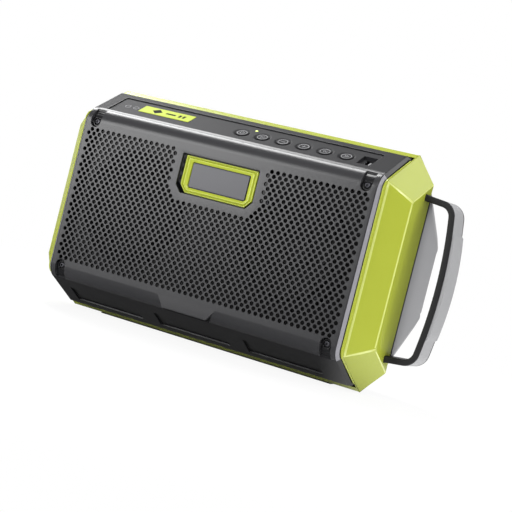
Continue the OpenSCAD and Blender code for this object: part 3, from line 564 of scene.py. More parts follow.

# %% [markdown]
# ## Green shell
#
# The shell is one deep moulding: a bevelled frame round the dark unit, cut by four corner
# facets. Its outer corners have a radius of about 2 mm, which draws thin bright lines.
# Those corners are the edges where two of the form's planes meet, so the planes are set
# up from the same corner points as in CAD, and only edges on two of them are rounded
# widely. The middle of each wide round gets a paler lime, a painted highlight that
# brightens those lines. What is left sharp, such as the rim of the opening, gets a fine
# edge break. The rounds are wider than some strips beside the opening, so long faces are
# cut first, which keeps any fold there small.

# %% Green shell
LAND_Y, LAND_X, LAND_Z, BEVEL = 8, 155.5, 75.976, 18.5
END_X, RIDGE_Z, PARTING_Y, CROWN_X, CROWN_Z = 174, 64, 63, 155, 106.463
corner_in, corner_ridge = at(LAND_X, LAND_Y, LAND_Z), at(END_X, LAND_Y + BEVEL, RIDGE_Z)
corner_crown = at(CROWN_X, PARTING_Y, CROWN_Z)
facet = plane_through(corner_in, corner_ridge, corner_crown)
bevel = plane_through(at(LAND_X, LAND_Y, 0), at(LAND_X, LAND_Y, 9), at(END_X, LAND_Y + BEVEL, 0))
end_face = plane_through(at(END_X, 30, 0), at(END_X, 30, 9), at(END_X, 40, 0))
land = plane_through(at(0, LAND_Y, 0), at(9, LAND_Y, 0), at(0, LAND_Y, 9))
rounds = [([facet, bevel, land], 2), ([bevel, end_face], 2.4), ([facet, end_face], 1.1)]
shell = joined_copy("outer_shell")
cut_across(shell, ALONG_X, 153.2)
cut_across(shell, ALONG_Z, 70)
seam_planes = between(hull_planes(shell))


def at_seam(edge):
    """The outer edge along the joint with the rear housing, rounded more to draw a dark line."""
    return seam_planes(edge) and all(abs(v.co.y - at(0, PARTING_Y, 0).y) < 0.05 * MM for v in edge.verts)


# The middle of each wide round takes the paler lime, a painted highlight
for planes, width in rounds:
    round_edges(shell, width, 4, between(mirrored(planes)), middle=1)
round_edges(shell, 0.3, 1, lambda e: e.calc_length() > 2 * MM and not at_seam(e), angle=32)
round_edges(shell, 0.8, 2, at_seam)
finished("outer_shell_moulding", shell, "outer_shell", paints=["shell_edge"])

# %% [markdown]
# ## Grey rear housing
#
# The rear housing is a shallow tray with the same corner facets, so its outer corners are
# simply the edges on its convex hull. The hull's planes are found in code, which saves
# measuring them.

# %% Grey rear housing
rear = joined_copy("rear_housing")
wide = between(hull_planes(rear))
SEAM_Y = at(0, 64.2, 0).y
round_edges(rear, 1.8, 4, lambda e: wide(e) and max(v.co.y for v in e.verts) > SEAM_Y)
round_edges(rear, 0.7, 2, lambda e: wide(e) and max(v.co.y for v in e.verts) < SEAM_Y)
round_edges(rear, 0.4, 2, lambda e: e.calc_length() > 2.5 * MM, angle=32)
# The housing's outer faces just behind the joint take the black seal's finish: painted shade that draws the
# joint as a dark line
SEAM_SHADE_Y = 67.6
seam_shade = at(0, SEAM_SHADE_Y, 0)
cut(rear, rear.faces, seam_shade, ALONG_Y)
for face in rear.faces:
    if face.calc_center_median().y < seam_shade.y and face.normal.y > -0.98:
        face.material_index = 1
finished("rear_housing_moulding", rear, "rear_housing", paints=["seal_rubber"])

# %% [markdown]
# ## Dark front unit
#
# The front unit carries everything: the rolled edges that the grille lies on, the control
# deck, and the lower face with its three sunk fields. It is the most cut-up moulding, so
# one fine round on its visible edges does: those long enough to be a feature.

# %% Dark front unit
front = joined_copy("front_chassis")
# The roll is drawn out over the strip before the panel. The strip's faces are cut along it,
# and then every point near the surface moves in to a circle that starts at the panel.
PANEL_S = 4
ROLL_WIDE = (SLOPE_Y + PANEL_S * math.cos(SLOPE)) / (1 - math.sin(SLOPE))
WIDE_Z = SLOPE_Z + PANEL_S * math.sin(SLOPE) - ROLL_WIDE * math.cos(SLOPE)
up_slope = Vector((0, math.cos(SLOPE), math.sin(SLOPE)))
deck_normal = Vector((0, -math.sin(SLOPE), math.cos(SLOPE)))
for k in range(5):
    plane = on_deck(0, PANEL_S * k / 4, 0)
    strip = [f for f in front.faces if f.normal.dot(deck_normal) > 0.9999
             and abs((f.verts[0].co - plane).dot(deck_normal)) < 0.05 * MM]
    cut(front, strip, plane, up_slope, near=0.01)


def depth_in_roll(co):
    """How deep a point lies under the narrow roll and the deck, or None away from them."""
    s, n = (co - on_deck(0, 0, 0)).dot(up_slope), (co - on_deck(0, 0, 0)).dot(deck_normal)
    if 0 <= s <= PANEL_S * MM:
        return -n
    middle = at(0, ROLL_R, ROLL_Z)
    if s < 0 and co.z >= middle.z - 0.01 * MM and co.y < middle.y:
        return ROLL_R * MM - math.hypot(co.y - middle.y, co.z - middle.z)
    return None


moved = 0
wide_middle = at(0, ROLL_WIDE, WIDE_Z)
for v in front.verts:
    depth = depth_in_roll(v.co)
    if depth is None or depth > (3.6 if abs(v.co.x) > 149.8 * MM else 0.1) * MM:
        continue
    ray = Vector((0, v.co.y - wide_middle.y, v.co.z - wide_middle.z))
    v.co += ray.normalized() * (ROLL_WIDE * MM - depth - ray.length)
    moved += 1
print("roll of", round(ROLL_WIDE, 2), "mm:", moved, "points moved")
front.normal_update()
# Long faces are cut near both ends, which keeps folds in the rounds small
cut_across(front, ALONG_X, 149.2)
SEAT_Y = at(0, 5, 0).y
round_edges(front, 0.45, 2, angle=28, wanted=lambda e: e.calc_length() > 2.5 * MM
            and any(abs(v.co.y - SEAT_Y) > 0.3 * MM for v in e.verts))
# The upright part of the 45 degree edge round both ends is painted pale grey, a painted
# highlight, and the deck is as matt as the panel in it
for face in front.faces:
    middle = face.calc_center_median()
    if abs(middle.x) > 149.6 * MM and 0.2 < abs(face.normal.x) < 0.97 and \
            abs(middle.z - MIDDLE_Z) < SLOPE_Z * MM and middle.y < at(0, 9, 0).y:
        face.material_index = 1
    elif face.normal.dot(deck_normal) > 0.999 and (middle - on_deck(0, PANEL_S, 0)).dot(up_slope) > 0:
        face.material_index = 2
finished("front_unit_moulding", front, "front_chassis", paints=["edge_band", "panel_dark"])
panel = joined_copy("control_panel")
round_edges(panel, 0.3, 2, lambda e: e.calc_length() > 2 * MM, angle=28)
finished("control_panel_moulding", panel, "control_panel")

# %% [markdown]
# ## Perforated grille: lattice and outline
#
# The grille is a thin plate with about 1,500 punched holes in staggered rows, bent over a
# roll at its top and bottom. It is drawn flat first, as a press shop would: x along the
# width and u along the sheet, so that beyond the flat front u runs round the roll. The
# holes keep clear of the badge. A Delaunay triangulation then fills the sheet between its
# outline and the holes, which no modifier does as cleanly.

# %% The grille's lattice
PITCH, ROW_PITCH, ROWS, ROW_HOLES = 6, 3.8, 33, 49
HOLE_R, HOLE_CHAMFER, SHEET, SIDES = 1.8, 0.2, 2, 12
BADGE_W, BADGE_H, BADGE_Z, GAP_X, GAP_Z, CUT_X, CUT_Z = 79, 38, 41.6, 3.2, 1.6, 7.5, 8.5
GRILLE_X, SCREW_X, SCREW_Z, NOTCH_R = 149.5, 139.5, 68.5, 5.25
ROLL_END = ROLL_Z + ROLL_R * (math.pi / 2 - SLOPE)


def clear_of_badge(x, z):
    margin = HOLE_R + 1.2
    reach_x, reach_z = BADGE_W / 2 + GAP_X + margin, BADGE_H / 2 + GAP_Z + margin
    past_cut = (BADGE_Z - z) / CUT_Z + abs(x) / CUT_X > reach_z / CUT_Z + reach_x / CUT_X - 1
    return abs(x) > reach_x or abs(z - BADGE_Z) > reach_z or past_cut


holes = []
for j in range(-(ROWS // 2), ROWS // 2 + 1):
    count = ROW_HOLES - j % 2 if (ROWS // 2) % 2 else ROW_HOLES - 1 + j % 2
    for i in range(count):
        x, z = (i - (count - 1) / 2) * PITCH, j * ROW_PITCH
        if clear_of_badge(x, z):
            holes.append((x, z))
holes = np.array(holes)
print(len(holes), "holes")

# %% The grille's outline


def arc(r, steps, start=0, end=360):
    """Points on a circle of a radius, from one angle to another in degrees."""
    angles = [math.radians(start + (end - start) * k / steps) for k in range(steps + 1)]
    return [(r * math.cos(a), r * math.sin(a)) for a in angles]


def badge_outline(width, height, cut_x, cut_z):
    """A rectangle round the badge's middle, with its two lower corners cut."""
    w, h = width / 2, height / 2
    return [(x, BADGE_Z + z) for x, z in ((-w, h), (-w, cut_z - h), (cut_x - w, -h), (w - cut_x, -h),
                                          (w, cut_z - h), (w, h))]


def rounded(points, radius, steps=4):
    """A closed outline with its corners rounded, as a plane curve of points."""
    made = []
    for before, corner, after in zip(points[-1:] + points[:-1], points, points[1:] + points[:1]):
        c = Vector(corner)
        a, b = (Vector(before) - c).normalized(), (Vector(after) - c).normalized()
        half = a.angle(b) / 2
        reach = radius / math.tan(half)
        middle = c + (a + b).normalized() * (radius / math.sin(half))
        start, end = c + a * reach - middle, c + b * reach - middle
        for k in range(steps + 1):
            way = start.slerp(end, k / steps)
            made.append(tuple(middle + way))
    return made


def notch(side_x, side_u):
    """The notch round a screw, from its right-hand wall to its left-hand one."""
    bow = [(side_x * SCREW_X + a, side_u * (SCREW_Z - b)) for a, b in arc(NOTCH_R, 12, 0, 180)]
    return [(bow[0][0], side_u * ROLL_END)] + bow + [(bow[-1][0], side_u * ROLL_END)]


# Behind the flat tab the bent edge is cut away
TAB_U, TAB_X0, TAB_X1 = 75.72, 27.1, 23.3
upper = [(GRILLE_X, ROLL_END)] + notch(1, 1) + notch(-1, 1) + [(-GRILLE_X, ROLL_END)]
lower = [(-GRILLE_X, -ROLL_END)] + notch(-1, -1)[::-1] + [
    (-TAB_X1, -ROLL_END), (-TAB_X0, -TAB_U), (TAB_X0, -TAB_U), (TAB_X1, -ROLL_END)]
lower += notch(1, -1)[::-1] + [(GRILLE_X, -ROLL_END)]
sheet_outline = upper + lower
badge_window = rounded(badge_outline(BADGE_W + 2 * GAP_X, BADGE_H + 2 * GAP_Z, CUT_X, CUT_Z), 4)


def inside(points, outline):
    """Which points lie inside a closed outline, by counting crossings."""
    x, z = points[:, 0], points[:, 1]
    odd = np.zeros(len(points), bool)
    for (x0, z0), (x1, z1) in zip(outline, outline[1:] + outline[:1]):
        if z0 != z1:
            odd ^= ((z0 > z) != (z1 > z)) & (x < (x1 - x0) * (z - z0) / (z1 - z0) + x0)
    return odd

# %% [markdown]
# ## Perforated grille: the bent sheet
#
# The front and the back of the sheet are triangulated in the same way, but the front
# leaves out wider holes, because a chamfer lies between the two. Level lines across the
# rolls give the bend its facets. Then each face is wrapped round the roll at its depth.

# %% The grille's faces
ROLL_STEPS = 9
levels = [s * (ROLL_Z + (ROLL_END - ROLL_Z) * k / ROLL_STEPS) for s in (-1, 1) for k in range(ROLL_STEPS)]
hole_tree = KDTree(len(holes))
for index, (x, z) in enumerate(holes):
    hole_tree.insert((x, z, 0), index)
hole_tree.balance()


def from_hole(point):
    """The distance from a point of the sheet to the nearest hole's middle."""
    return hole_tree.find((point[0], point[1], 0))[2]


def triangulated(radius):
    """The sheet's points and triangles, with holes of a radius left out."""
    circle = arc(radius, SIDES)[:-1]
    points, edges = [], []
    for loop in [sheet_outline, badge_window] + [[(x + a, z + b) for a, b in circle] for x, z in holes]:
        first = len(points)
        points += [Vector(p) for p in loop]
        edges += [(first + k, first + (k + 1) % len(loop)) for k in range(len(loop))]
    for u in levels:
        edges.append((len(points), len(points) + 1))
        points += [Vector((-GRILLE_X, u)), Vector((GRILLE_X, u))]
    flat, _, faces, *_ = delaunay_2d_cdt(points, edges, [], 0, 1e-4, False)
    flat, faces = np.array([tuple(p) for p in flat]), np.array([tuple(f) for f in faces])
    middle = flat[faces].mean(axis=1)
    solid = np.array([from_hole(m) > 0.94 * radius for m in middle])
    return flat, faces[inside(middle, sheet_outline) & ~inside(middle, badge_window) & solid]


def wrapped(x, u, depth):
    """A point of the sheet at a depth below its front, bent round the roll."""
    if abs(u) <= ROLL_Z:
        return at(x, depth, u)
    turn = (abs(u) - ROLL_Z) / ROLL_R
    r = ROLL_R - depth
    return at(x, ROLL_R - r * math.cos(turn), math.copysign(ROLL_Z + r * math.sin(turn), u))


grille = bmesh.new()
sides, outline_edges = [], []
for radius, depth, turn in ((HOLE_R + HOLE_CHAMFER, 0, 1), (HOLE_R, SHEET, -1)):
    flat, faces = triangulated(radius)
    verts = {int(i): grille.verts.new(wrapped(*flat[i], depth)) for i in np.unique(faces)}
    made = [grille.faces.new([verts[int(i)] for i in face[::turn]]) for face in faces]
    keys = {v: (round(float(flat[i][0]), 2), round(float(flat[i][1]), 2)) for i, v in verts.items()}
    sides.append((keys, {key: v for v, key in keys.items()}))
    if not depth:
        outline_edges = [e for f in made for e in f.edges if e.is_boundary
                         and from_hole(keys[e.verts[0]]) > radius + 0.02]
    print("depth", depth, len(made), "triangles")
front_keys, back_verts = sides[0][0], sides[1][1]
for edge in outline_edges:
    loop = edge.link_loops[0]
    v0, v1 = loop.vert, loop.link_loop_next.vert
    grille.faces.new([v1, v0, back_verts[front_keys[v0]], back_verts[front_keys[v1]]])
bevelled(grille, outline_edges, 0.4, 2)
print(len(outline_edges), "outline edges")

# %% [markdown]
# ## Perforated grille: the rims of the holes
#
# Every hole has the same small chamfer and wall, and a tree of geometry nodes puts one on
# each point of the lattice. Two open cones make the rim: a short one for the chamfer and
# a straight one for the wall. Their faces are flipped, because a hole's wall faces its
# own axis. The rims then join the sheet vertex by vertex, so the plate is closed.

# %% Helpers for geometry nodes


def new_tree(name, inputs):
    """A geometry tree with a geometry input and output, and named inputs for its sizes."""
    tree = bpy.data.node_groups.new(name, "GeometryNodeTree")
    tree.interface.new_socket("Geometry", in_out="INPUT", socket_type="NodeSocketGeometry")
    for label, kind in inputs.items():
        tree.interface.new_socket(label, in_out="INPUT", socket_type="NodeSocket" + kind)
    tree.interface.new_socket("Geometry", in_out="OUTPUT", socket_type="NodeSocketGeometry")
    return tree, tree.nodes.new("NodeGroupInput").outputs


def end_tree(tree, geometry, material):
    real = add(tree, "GeometryNodeRealizeInstances", _0=geometry)
    painted = add(tree, "GeometryNodeSetMaterial", Geometry=real.outputs[0], Material=material)
    add(tree, "NodeGroupOutput", _0=painted.outputs[0])


def grown(name, mesh, tree, values):
    """The plain mesh that a tree makes from a mesh, with its inputs set by identifier."""
    obj = in_scene(name, mesh)
    grow = obj.modifiers.new("grow", "NODES")
    grow.node_group = tree
    for item in tree.interface.items_tree:
        if item.in_out == "INPUT" and item.name in values:
            grow[item.identifier] = values[item.name]
    flattened(obj)
    result = obj.data
    bpy.data.objects.remove(obj)
    return result

# %% Rims of the holes
rim_tree, given = new_tree("hole_rims", {
    "Hole Radius": "Float", "Chamfer": "Float", "Sheet": "Float", "Sides": "Int", "Material": "Material"})
mouth = maths(rim_tree, "ADD", given["Hole Radius"], given["Chamfer"])
rest = maths(rim_tree, "SUBTRACT", given["Sheet"], given["Chamfer"])
chamfer = add(rim_tree, "GeometryNodeMeshCone", {"fill_type": "NONE"}, Vertices=given["Sides"],
              Radius_Top=given["Hole Radius"], Radius_Bottom=mouth, Depth=given["Chamfer"])
wall = add(rim_tree, "GeometryNodeMeshCone", {"fill_type": "NONE"}, Vertices=given["Sides"],
           Radius_Top=given["Hole Radius"], Radius_Bottom=given["Hole Radius"], Depth=rest)
shift = add(rim_tree, "ShaderNodeCombineXYZ", Z=given["Chamfer"])
sunk = add(rim_tree, "GeometryNodeTransform", Geometry=wall.outputs[0], Translation=shift.outputs[0])
both = add(rim_tree, "GeometryNodeJoinGeometry")
for part in (chamfer, sunk):
    rim_tree.links.new(part.outputs[0], both.inputs[0])
inward = add(rim_tree, "GeometryNodeFlipFaces", Mesh=both.outputs[0])
placed = add(rim_tree, "GeometryNodeInstanceOnPoints", Points=given["Geometry"], Instance=inward.outputs[0],
             Rotation=(-math.pi / 2, 0, 0))
end_tree(rim_tree, placed.outputs[0], given["Material"])
lattice = bpy.data.meshes.new("lattice")
lattice.from_pydata([at(x, 0, z) for x, z in holes], [], [])
rims = grown("hole_rims", lattice, rim_tree, {
    "Hole Radius": HOLE_R * MM, "Chamfer": HOLE_CHAMFER * MM, "Sheet": SHEET * MM, "Sides": SIDES,
    "Material": finishes["grille_dark"]})
grille.from_mesh(rims)
bmesh.ops.remove_doubles(grille, verts=grille.verts, dist=0.01 * MM)
print("open edges left:", sum(e.is_boundary for e in grille.edges))
# Only the face and the chamfers take the grille paint: the walls of the holes and the back are near black,
# painted shade that keeps the holes dark
for face in grille.faces:
    depths = [(v.co.y - FRONT_Y) / MM for v in face.verts]
    if min(depths) > HOLE_CHAMFER - 0.01 and abs(face.calc_center_median().z - MIDDLE_Z) < ROLL_Z * MM:
        face.material_index = 1
finished("grille_sheet", grille, "grille", paints=["bare_black"])

# %% [markdown]
# ## Grille tab
#
# In the middle of the lower roll the sheet carries on flat as a tapered tab. It starts
# where the roll begins to bend, so its face runs on from the sheet without a step.

# %% Grille tab


def skinned(rings, band=False, work=None):
    """A closed body through rings with the same number of points. A ring of one point is a
    tip, and other ends are capped. In a band the last ring joins the first."""
    work = work or bmesh.new()
    steps = max(len(ring) for ring in rings)
    loops = [[work.verts.new(p) for p in ring] for ring in rings]
    loops = [loop if len(loop) > 1 else loop * steps for loop in loops]
    for one, two in zip(loops, loops[1:] + loops[:1] if band else loops[1:]):
        for k in range(steps):
            m = (k + 1) % steps
            work.faces.new(list(dict.fromkeys([one[k], one[m], two[m], two[k]])))
    for ring, loop in () if band else ((rings[0], loops[0]), (rings[-1], loops[-1][::-1])):
        if len(ring) > 1:
            work.faces.new(loop)
    bmesh.ops.recalc_face_normals(work, faces=work.faces)
    return work


def prism(outline, y0, y1, edge=0.4):
    """A plate between two depths from an outline in x and z, its front edges rounded."""
    work = skinned([[at(x, y, z) for x, z in outline] for y in (y0, y1)])
    rim = [e for e in work.edges if all(abs(v.co.y - at(0, y0, 0).y) < 0.001 * MM for v in e.verts)]
    bevelled(work, rim, edge, 2)
    return work


tab = prism([(-31, -ROLL_Z), (-23, -79), (23, -79), (31, -ROLL_Z)], 0, SHEET)
finished("grille_tab", tab, "grille", replaces=False)

# %% [markdown]
# ## Badge
#
# The badge sits in a window of the grille, a little below its face. Its frame is a glossy
# lime moulding with a raised lip, a groove and a broad bevel down to a dark plate. The
# frame is one profile carried round the badge's outline, so it is swept in code: each
# step of the profile is a ring of the same number of points.

# %% Badge frame
OPEN_W, OPEN_H, OPEN_CUT = 59, 22, 1.2
BADGE_R, OPEN_R = 3.2, 0.5


def badge_ring(share, depth):
    """A ring between the badge's outline and its opening, at a depth."""
    outer = badge_outline(BADGE_W, BADGE_H, CUT_X, CUT_Z)
    inner = badge_outline(OPEN_W, OPEN_H, OPEN_CUT, OPEN_CUT)
    mixed = [Vector(a).lerp(b, share) for a, b in zip(outer, inner)]
    return [at(x, depth, z) for x, z in rounded(mixed, BADGE_R + (OPEN_R - BADGE_R) * share, 5)]


profile = [(0, 6), (0, 3.8), (0.03, 3.3), (0.09, 3.05), (0.17, 3.05), (0.22, 3.25), (0.27, 4.0), (0.33, 4.3),
           (0.39, 4.1), (0.44, 3.3), (0.5, 3.1), (0.62, 3.1), (0.94, 4.0), (0.98, 4.3), (1.0, 6)]
frame_work = skinned([badge_ring(share, depth) for share, depth in profile], band=True)
finished("badge_frame_moulding", frame_work, "badge_frame")

# %% Badge plate, left bare
w, h = OPEN_W / 2 - 0.1, OPEN_H / 2 - 0.1
plate = prism(rounded([(-w, BADGE_Z + h), (-w, BADGE_Z - h), (w, BADGE_Z - h), (w, BADGE_Z + h)], 1.2), 4, 6,
              edge=0.25)
finished("badge_plate_moulding", plate, "badge_plate")

# %% [markdown]
# ## Buttons
#
# A button is a silicone-faced cap with a rounded rim and a slightly dished top. It is a
# turned form: one profile spun round its axis, with the lip that holds it under the
# panel and the plunger that reaches its switch. All six share the mesh code, and each
# rides on its own body, because it moves on its own.

# %% Buttons
BUTTON_S, BUTTON_X, BUTTON_PITCH = 20.3, -1, 21
button_x = {name: BUTTON_X + k * BUTTON_PITCH for k, name in enumerate(
    ("power", "mode", "volume_down", "volume_up", "previous", "next"))}
# Radius and height above the deck, from the middle of the top to the plunger's end
CAP = [(0, -1.25), (2.5, -1.22), (4.4, -1.12), (5.1, -0.98), (5.45, -0.9), (5.75, -0.92), (6.02, -1.08),
       (6.2, -1.5), (6.2, -5.6), (7.55, -5.6), (7.55, -6.6), (2.0, -6.6), (2.0, -8.9), (0, -8.9)]


def turned(profile, x, s, steps):
    """A form turned round an axis that stands on the deck at x and s."""
    return skinned([[on_deck(x + a, s + b, n) for a, b in (arc(r, steps)[:-1] if r else [(0, 0)])]
                    for r, n in profile])


for name, x in button_x.items():
    finished(name + "_cap", turned(CAP, x, BUTTON_S, 48), name + "_button")

# %% [markdown]
# ## Signs on the buttons and the label
#
# The signs are the usual ones of any audio device: on and off, source, minus, plus, back
# and forward. On the real part they are pad printed in pale grey. A printed line is thin,
# so each sign is a set of open or closed lines given a round section, sunk by half.

# %% Lines for signs


def line_work(name, lines, x, s, n, width, node):
    """Grey printed lines on the deck's slope, as thin tubes along open paths."""
    curve = bpy.data.curves.new(name, "CURVE")
    curve.dimensions, curve.bevel_depth, curve.bevel_resolution = "3D", width / 2 * MM, 1
    curve.use_fill_caps = True
    for line in lines:
        spline = curve.splines.new("POLY")
        spline.points.add(len(line) - 1)
        for point, (a, b) in zip(spline.points, line):
            point.co = (*on_deck(x + a, s + b, n), 1)
    obj = in_scene(name, curve)
    graph = bpy.context.evaluated_depsgraph_get()
    mesh = bpy.data.meshes.new_from_object(obj.evaluated_get(graph))
    bpy.data.objects.remove(obj)
    work = bmesh.new()
    work.from_mesh(mesh)
    bmesh.ops.remove_doubles(work, verts=work.verts, dist=0.0005 * MM)
    bmesh.ops.recalc_face_normals(work, faces=work.faces)
    finished(name, work, node, replaces=False, paint="print_grey")


SIGN_N, SIGN_LINE = -1.11, 0.42
backwards = [[(0.1, 1.7), (-2, 0), (0.1, -1.7)], [(2.2, 1.7), (0.1, 0), (2.2, -1.7)]]
signs = {
    "power": [arc(1.9, 24, 125, 415), [(0, 0.6), (0, 2.4)]],
    "mode": [[(-2.2, 0.9), (2.0, 0.9), (1.1, 1.8)], [(2.2, -0.9), (-2.0, -0.9), (-1.1, -1.8)]],
    "volume_down": [[(-2, 0), (2, 0)]],
    "volume_up": [[(-2, 0), (2, 0)], [(0, -2), (0, 2)]],
    "previous": backwards,
    "next": [[(-a, b) for a, b in line] for line in backwards],
}
for name, lines in signs.items():
    line_work(name + "_sign", lines + [arc(4.5, 24)], button_x[name], BUTTON_S, SIGN_N, SIGN_LINE,
              name + "_button")


# %% [markdown]
# ## Label and status light
#
# The label is a lime film of 0.4 mm, printed with a few plain marks and no words. The
# status light is a clear rod with a domed end that sticks out of the panel by a hair. Two
# thin rings printed beside the label mark where a phone may lie.

# %% Label marks and status light
LABEL_X, LABEL_S, LABEL_N = -83.5, 22.7, -0.6


def box_of(x0, x1, s):
    return [(x0, -s), (x1, -s), (x1, s), (x0, s)]


# Each mark is a plate of less than 0.1 mm, from just under the film's face to just above it
marks = bmesh.new()
for outline in ([(-16, 0), (-10.5, -5), (-5, 0), (-10.5, 5)], box_of(-1, 9.5, 1.3), box_of(13, 15.6, 2.6),
                box_of(17.4, 20, 2.6)):
    skinned([[on_deck(LABEL_X + a, LABEL_S + b, LABEL_N + n) for a, b in outline] for n in (-0.05, 0.03)],
            work=marks)
finished("label_marks", marks, "label_patch", replaces=False, paint="print_dark")
line_work("label_rings", [arc(2.6, 24), [(a - 9, b) for a, b in arc(2.6, 24)]], -117, 21, -1.02, 0.35,
          "control_panel")
LIGHT_X, LIGHT_S = 8.7, 29.6
LENS = [(0, -0.55), (0.5, -0.58), (0.95, -0.7), (1.3, -0.92), (1.5, -1.25), (1.5, -12.9), (0, -12.9)]
lens_work = turned(LENS, LIGHT_X, LIGHT_S, 24)
for face in lens_work.faces:
    if all((v.co - on_deck(LIGHT_X, LIGHT_S, LENS[0][1])).length < 1.8 * MM for v in face.verts):
        face.material_index = 1
finished("status_light", lens_work, "led_lens", paints=["lit"])

# %% [markdown]
# ## Carrying handle
#
# The handle is a band of glass-filled nylon, bent twice and bowed along the grip, with a
# soft rubber moulded into a groove of its outer face. Both are swept along the same path:
# a tilted leg, a corner of 14 mm, the long bow, and the same again. Each station of the
# path has its own section, so the groove and the raised pad can start and end.

# %% The handle's path
LEG_TILT, CORNER_R, BOW_R, REACH_X, ROOT_Z = math.radians(6), 14, 400, 208.4, 74.2
HANDLE_Y, HANDLE_W, CORE_T, GROOVE, STUB_X, GRIP_X = 50, 27, 5.6, 1.2, 158, 186
bow_middle = Vector((REACH_X - BOW_R, 0))
along = Vector((math.cos(LEG_TILT), -math.sin(LEG_TILT)))
leg_normal = Vector((math.sin(LEG_TILT), math.cos(LEG_TILT)))
# The corner's middle is a corner radius inside the leg and inside the bow
start = Vector((END_X, ROOT_Z)) - leg_normal * CORNER_R - bow_middle
b, c = start.dot(along), start.length_squared - (BOW_R - CORNER_R) ** 2
corner = start + along * (math.sqrt(b * b - c) - b) + bow_middle
bow_angle = math.atan2(corner.y, corner.x - bow_middle.x)


def leg_station(x):
    return Vector((x, ROOT_Z - (x - END_X) * math.tan(LEG_TILT))), leg_normal


def bow_station(z):
    n = Vector((math.sqrt(BOW_R ** 2 - z * z), z)) / BOW_R
    return bow_middle + n * BOW_R, n


def corner_station(angle):
    n = Vector((math.cos(angle), math.sin(angle)))
    return corner + n * CORNER_R, n


leg_angle = math.pi / 2 - LEG_TILT
half = [leg_station(x) for x in (STUB_X, 170, GRIP_X - 0.01, GRIP_X)]
half += [corner_station(leg_angle + (bow_angle - leg_angle) * k / 12) for k in range(13)]
PAD_Z, PAD_RISE, PAD_R = 46.5, 3, 275
half += [bow_station(z) for z in (55, PAD_Z + 0.6, PAD_Z - 1.5, 40, 32, 24, 16, 8)]
stations = half + [bow_station(0)] + [(Vector((p.x, -p.y)), Vector((n.x, -n.y))) for p, n in half[::-1]]
stations = [(p, n, p.x >= GRIP_X or abs(p.x - GRIP_X) < 1e-6) for p, n in stations]
print(len(stations), "stations")

# %% Handle band and grip


def swept(sections):
    """A closed body through sections of points, each given by a station, depths and widths."""
    return skinned([[at(p.x - n.x * t, HANDLE_Y + y, p.y - n.y * t) for t, y in section]
                    for (p, n), section in sections])


def core_section(groove):
    half = [(CORE_T, 0.9), (CORE_T - 0.26, 0.26), (CORE_T - 0.9, 0), (0.8, 0), (0.23, 0.23), (0, 0.7),
            (0, 1.15), (groove, GROOVE)]
    return half + [(t, HANDLE_W - y) for t, y in half[::-1]]


def grip_section(rise):
    half = [(1.19, 1.25), (0.75, 1.25), (0.35 - rise, 1.4), (0.1 - rise, 1.9), (0.02 - rise, 2.8), (-rise, 6)]
    return half + [(-rise, HANDLE_W / 2)] + [(t, HANDLE_W - y) for t, y in half[::-1]]


def pad_rise(z):
    """How far the crowned pad stands out over the bow at a height."""
    if abs(z) > PAD_Z:
        return 0
    pad_x = REACH_X + PAD_RISE - PAD_R + math.sqrt(PAD_R ** 2 - z * z)
    return pad_x - bow_middle.x - math.sqrt(BOW_R ** 2 - z * z)


core = swept([((p, n), core_section(GROOVE if gripped else 0)) for p, n, gripped in stations])
finished("handle_band", core, "handle_core", smooth=50)
grip = swept([((p, n), grip_section(pad_rise(p.y))) for p, n, gripped in stations if gripped])
finished("handle_grip_moulding", grip, "handle_grip", smooth=50)

# %% [markdown]
# ## Screws
#
# Every group of screws is one kind: a pan head with a rounded edge and a hexagonal
# socket, and a plain shank. One screw is turned in code, and a tree of geometry nodes puts
# a copy on each screw's place. The group becomes one mesh, so it counts as one part.

# %% Screws
screw_tree, given = new_tree("screw_group", {"Screw": "Object", "Turn": "Rotation", "Material": "Material"})
one_screw = add(screw_tree, "GeometryNodeObjectInfo", Object=given["Screw"])
placed = add(screw_tree, "GeometryNodeInstanceOnPoints", Points=given["Geometry"],
             Instance=one_screw.outputs["Geometry"], Rotation=given["Turn"])
end_tree(screw_tree, placed.outputs[0], given["Material"])


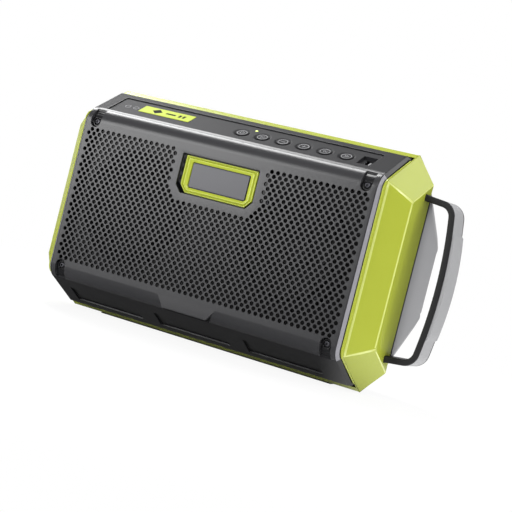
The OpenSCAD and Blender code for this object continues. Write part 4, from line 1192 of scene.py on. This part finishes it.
def screw_mesh(head_r, head_h, shank_r, length):
    """A screw along y: its seat at zero, its head towards the front, its shank behind."""
    # Shares of the head's radius and height, and whether the ring is the socket's hexagon
    head = [(0, 0.4, False), (0.42, 0.4, True), (0.42, 0.97, True), (0.62, 1, False), (0.85, 0.86, False),
            (0.97, 0.6, False), (1, 0.3, False), (1, 0, False)]
    steps = [(head_r * r, -head_h * y, hexed) for r, y, hexed in head]
    steps += [(shank_r, 0, False), (shank_r, length - shank_r, False), (shank_r * 0.5, length, False),
              (0, length, False)]
    rings = []
    for r, y, hexed in steps:
        ring = []
        for a in (math.pi * k / 12 for k in range(24 if r else 1)):
            reach = r / math.cos((a + math.pi / 6) % (math.pi / 3) - math.pi / 6) if hexed else r
            ring.append((reach * MM * math.cos(a), y * MM, reach * MM * math.sin(a)))
        rings.append(ring)
    return meshed("screw", skinned(rings))


def screw_group(name, node, places, seat_y, sizes, backwards=False, paint=None):
    """One mesh with a screw on each place of a CAD node."""
    pattern = bpy.data.objects.new("screw", screw_mesh(*sizes))
    points = bpy.data.meshes.new("places")
    points.from_pydata([at(x, seat_y, z) for x, z in places], [], [])
    mesh = grown(name, points, screw_tree, {
        "Screw": pattern, "Turn": (0, 0, math.pi if backwards else 0), "Material": finishes[slot_of[node]]})
    work = bmesh.new()
    work.from_mesh(mesh)
    finished(name, work, node, smooth=35, paint=paint)
    bpy.data.objects.remove(pattern)


def corners(x, z):
    return [(i * x, j * z) for i in (-1, 1) for j in (-1, 1)]


DRIVER_X, DRIVER_R = 84, 48
LEG_X = STUB_X + 5
LEG_Z = ROOT_Z + (END_X - LEG_X) * math.tan(LEG_TILT) - CORE_T / 2 / math.cos(LEG_TILT)
ring_places = [(side * DRIVER_X + x, z) for side in (-1, 1)
               for x, z in corners(DRIVER_R * math.sqrt(0.5), DRIVER_R * math.sqrt(0.5))]
screw_group("front_screw_set", "front_screws", corners(SCREW_X, SCREW_Z), 5, (2.95, 2.15, 1.7, 27.9))
screw_group("rear_screw_set", "rear_screws", corners(161, 42), 99, (3, 2.2, 1.7, 55.9), backwards=True)
screw_group("board_screw_set", "board_screws", corners(34, 44), 57.6, (2.5, 1.8, 1.2, 7.9), backwards=True)
screw_group("driver_screw_set", "driver_screws", ring_places, 7.4, (2.7, 1.6, 1.4, 4.9), paint="screw_dark")
screw_group("handle_screw_set", "handle_screws", [(LEG_X, LEG_Z), (LEG_X, -LEG_Z)], HANDLE_Y,
            (3, 2.2, 1.7, HANDLE_W + 5.4))
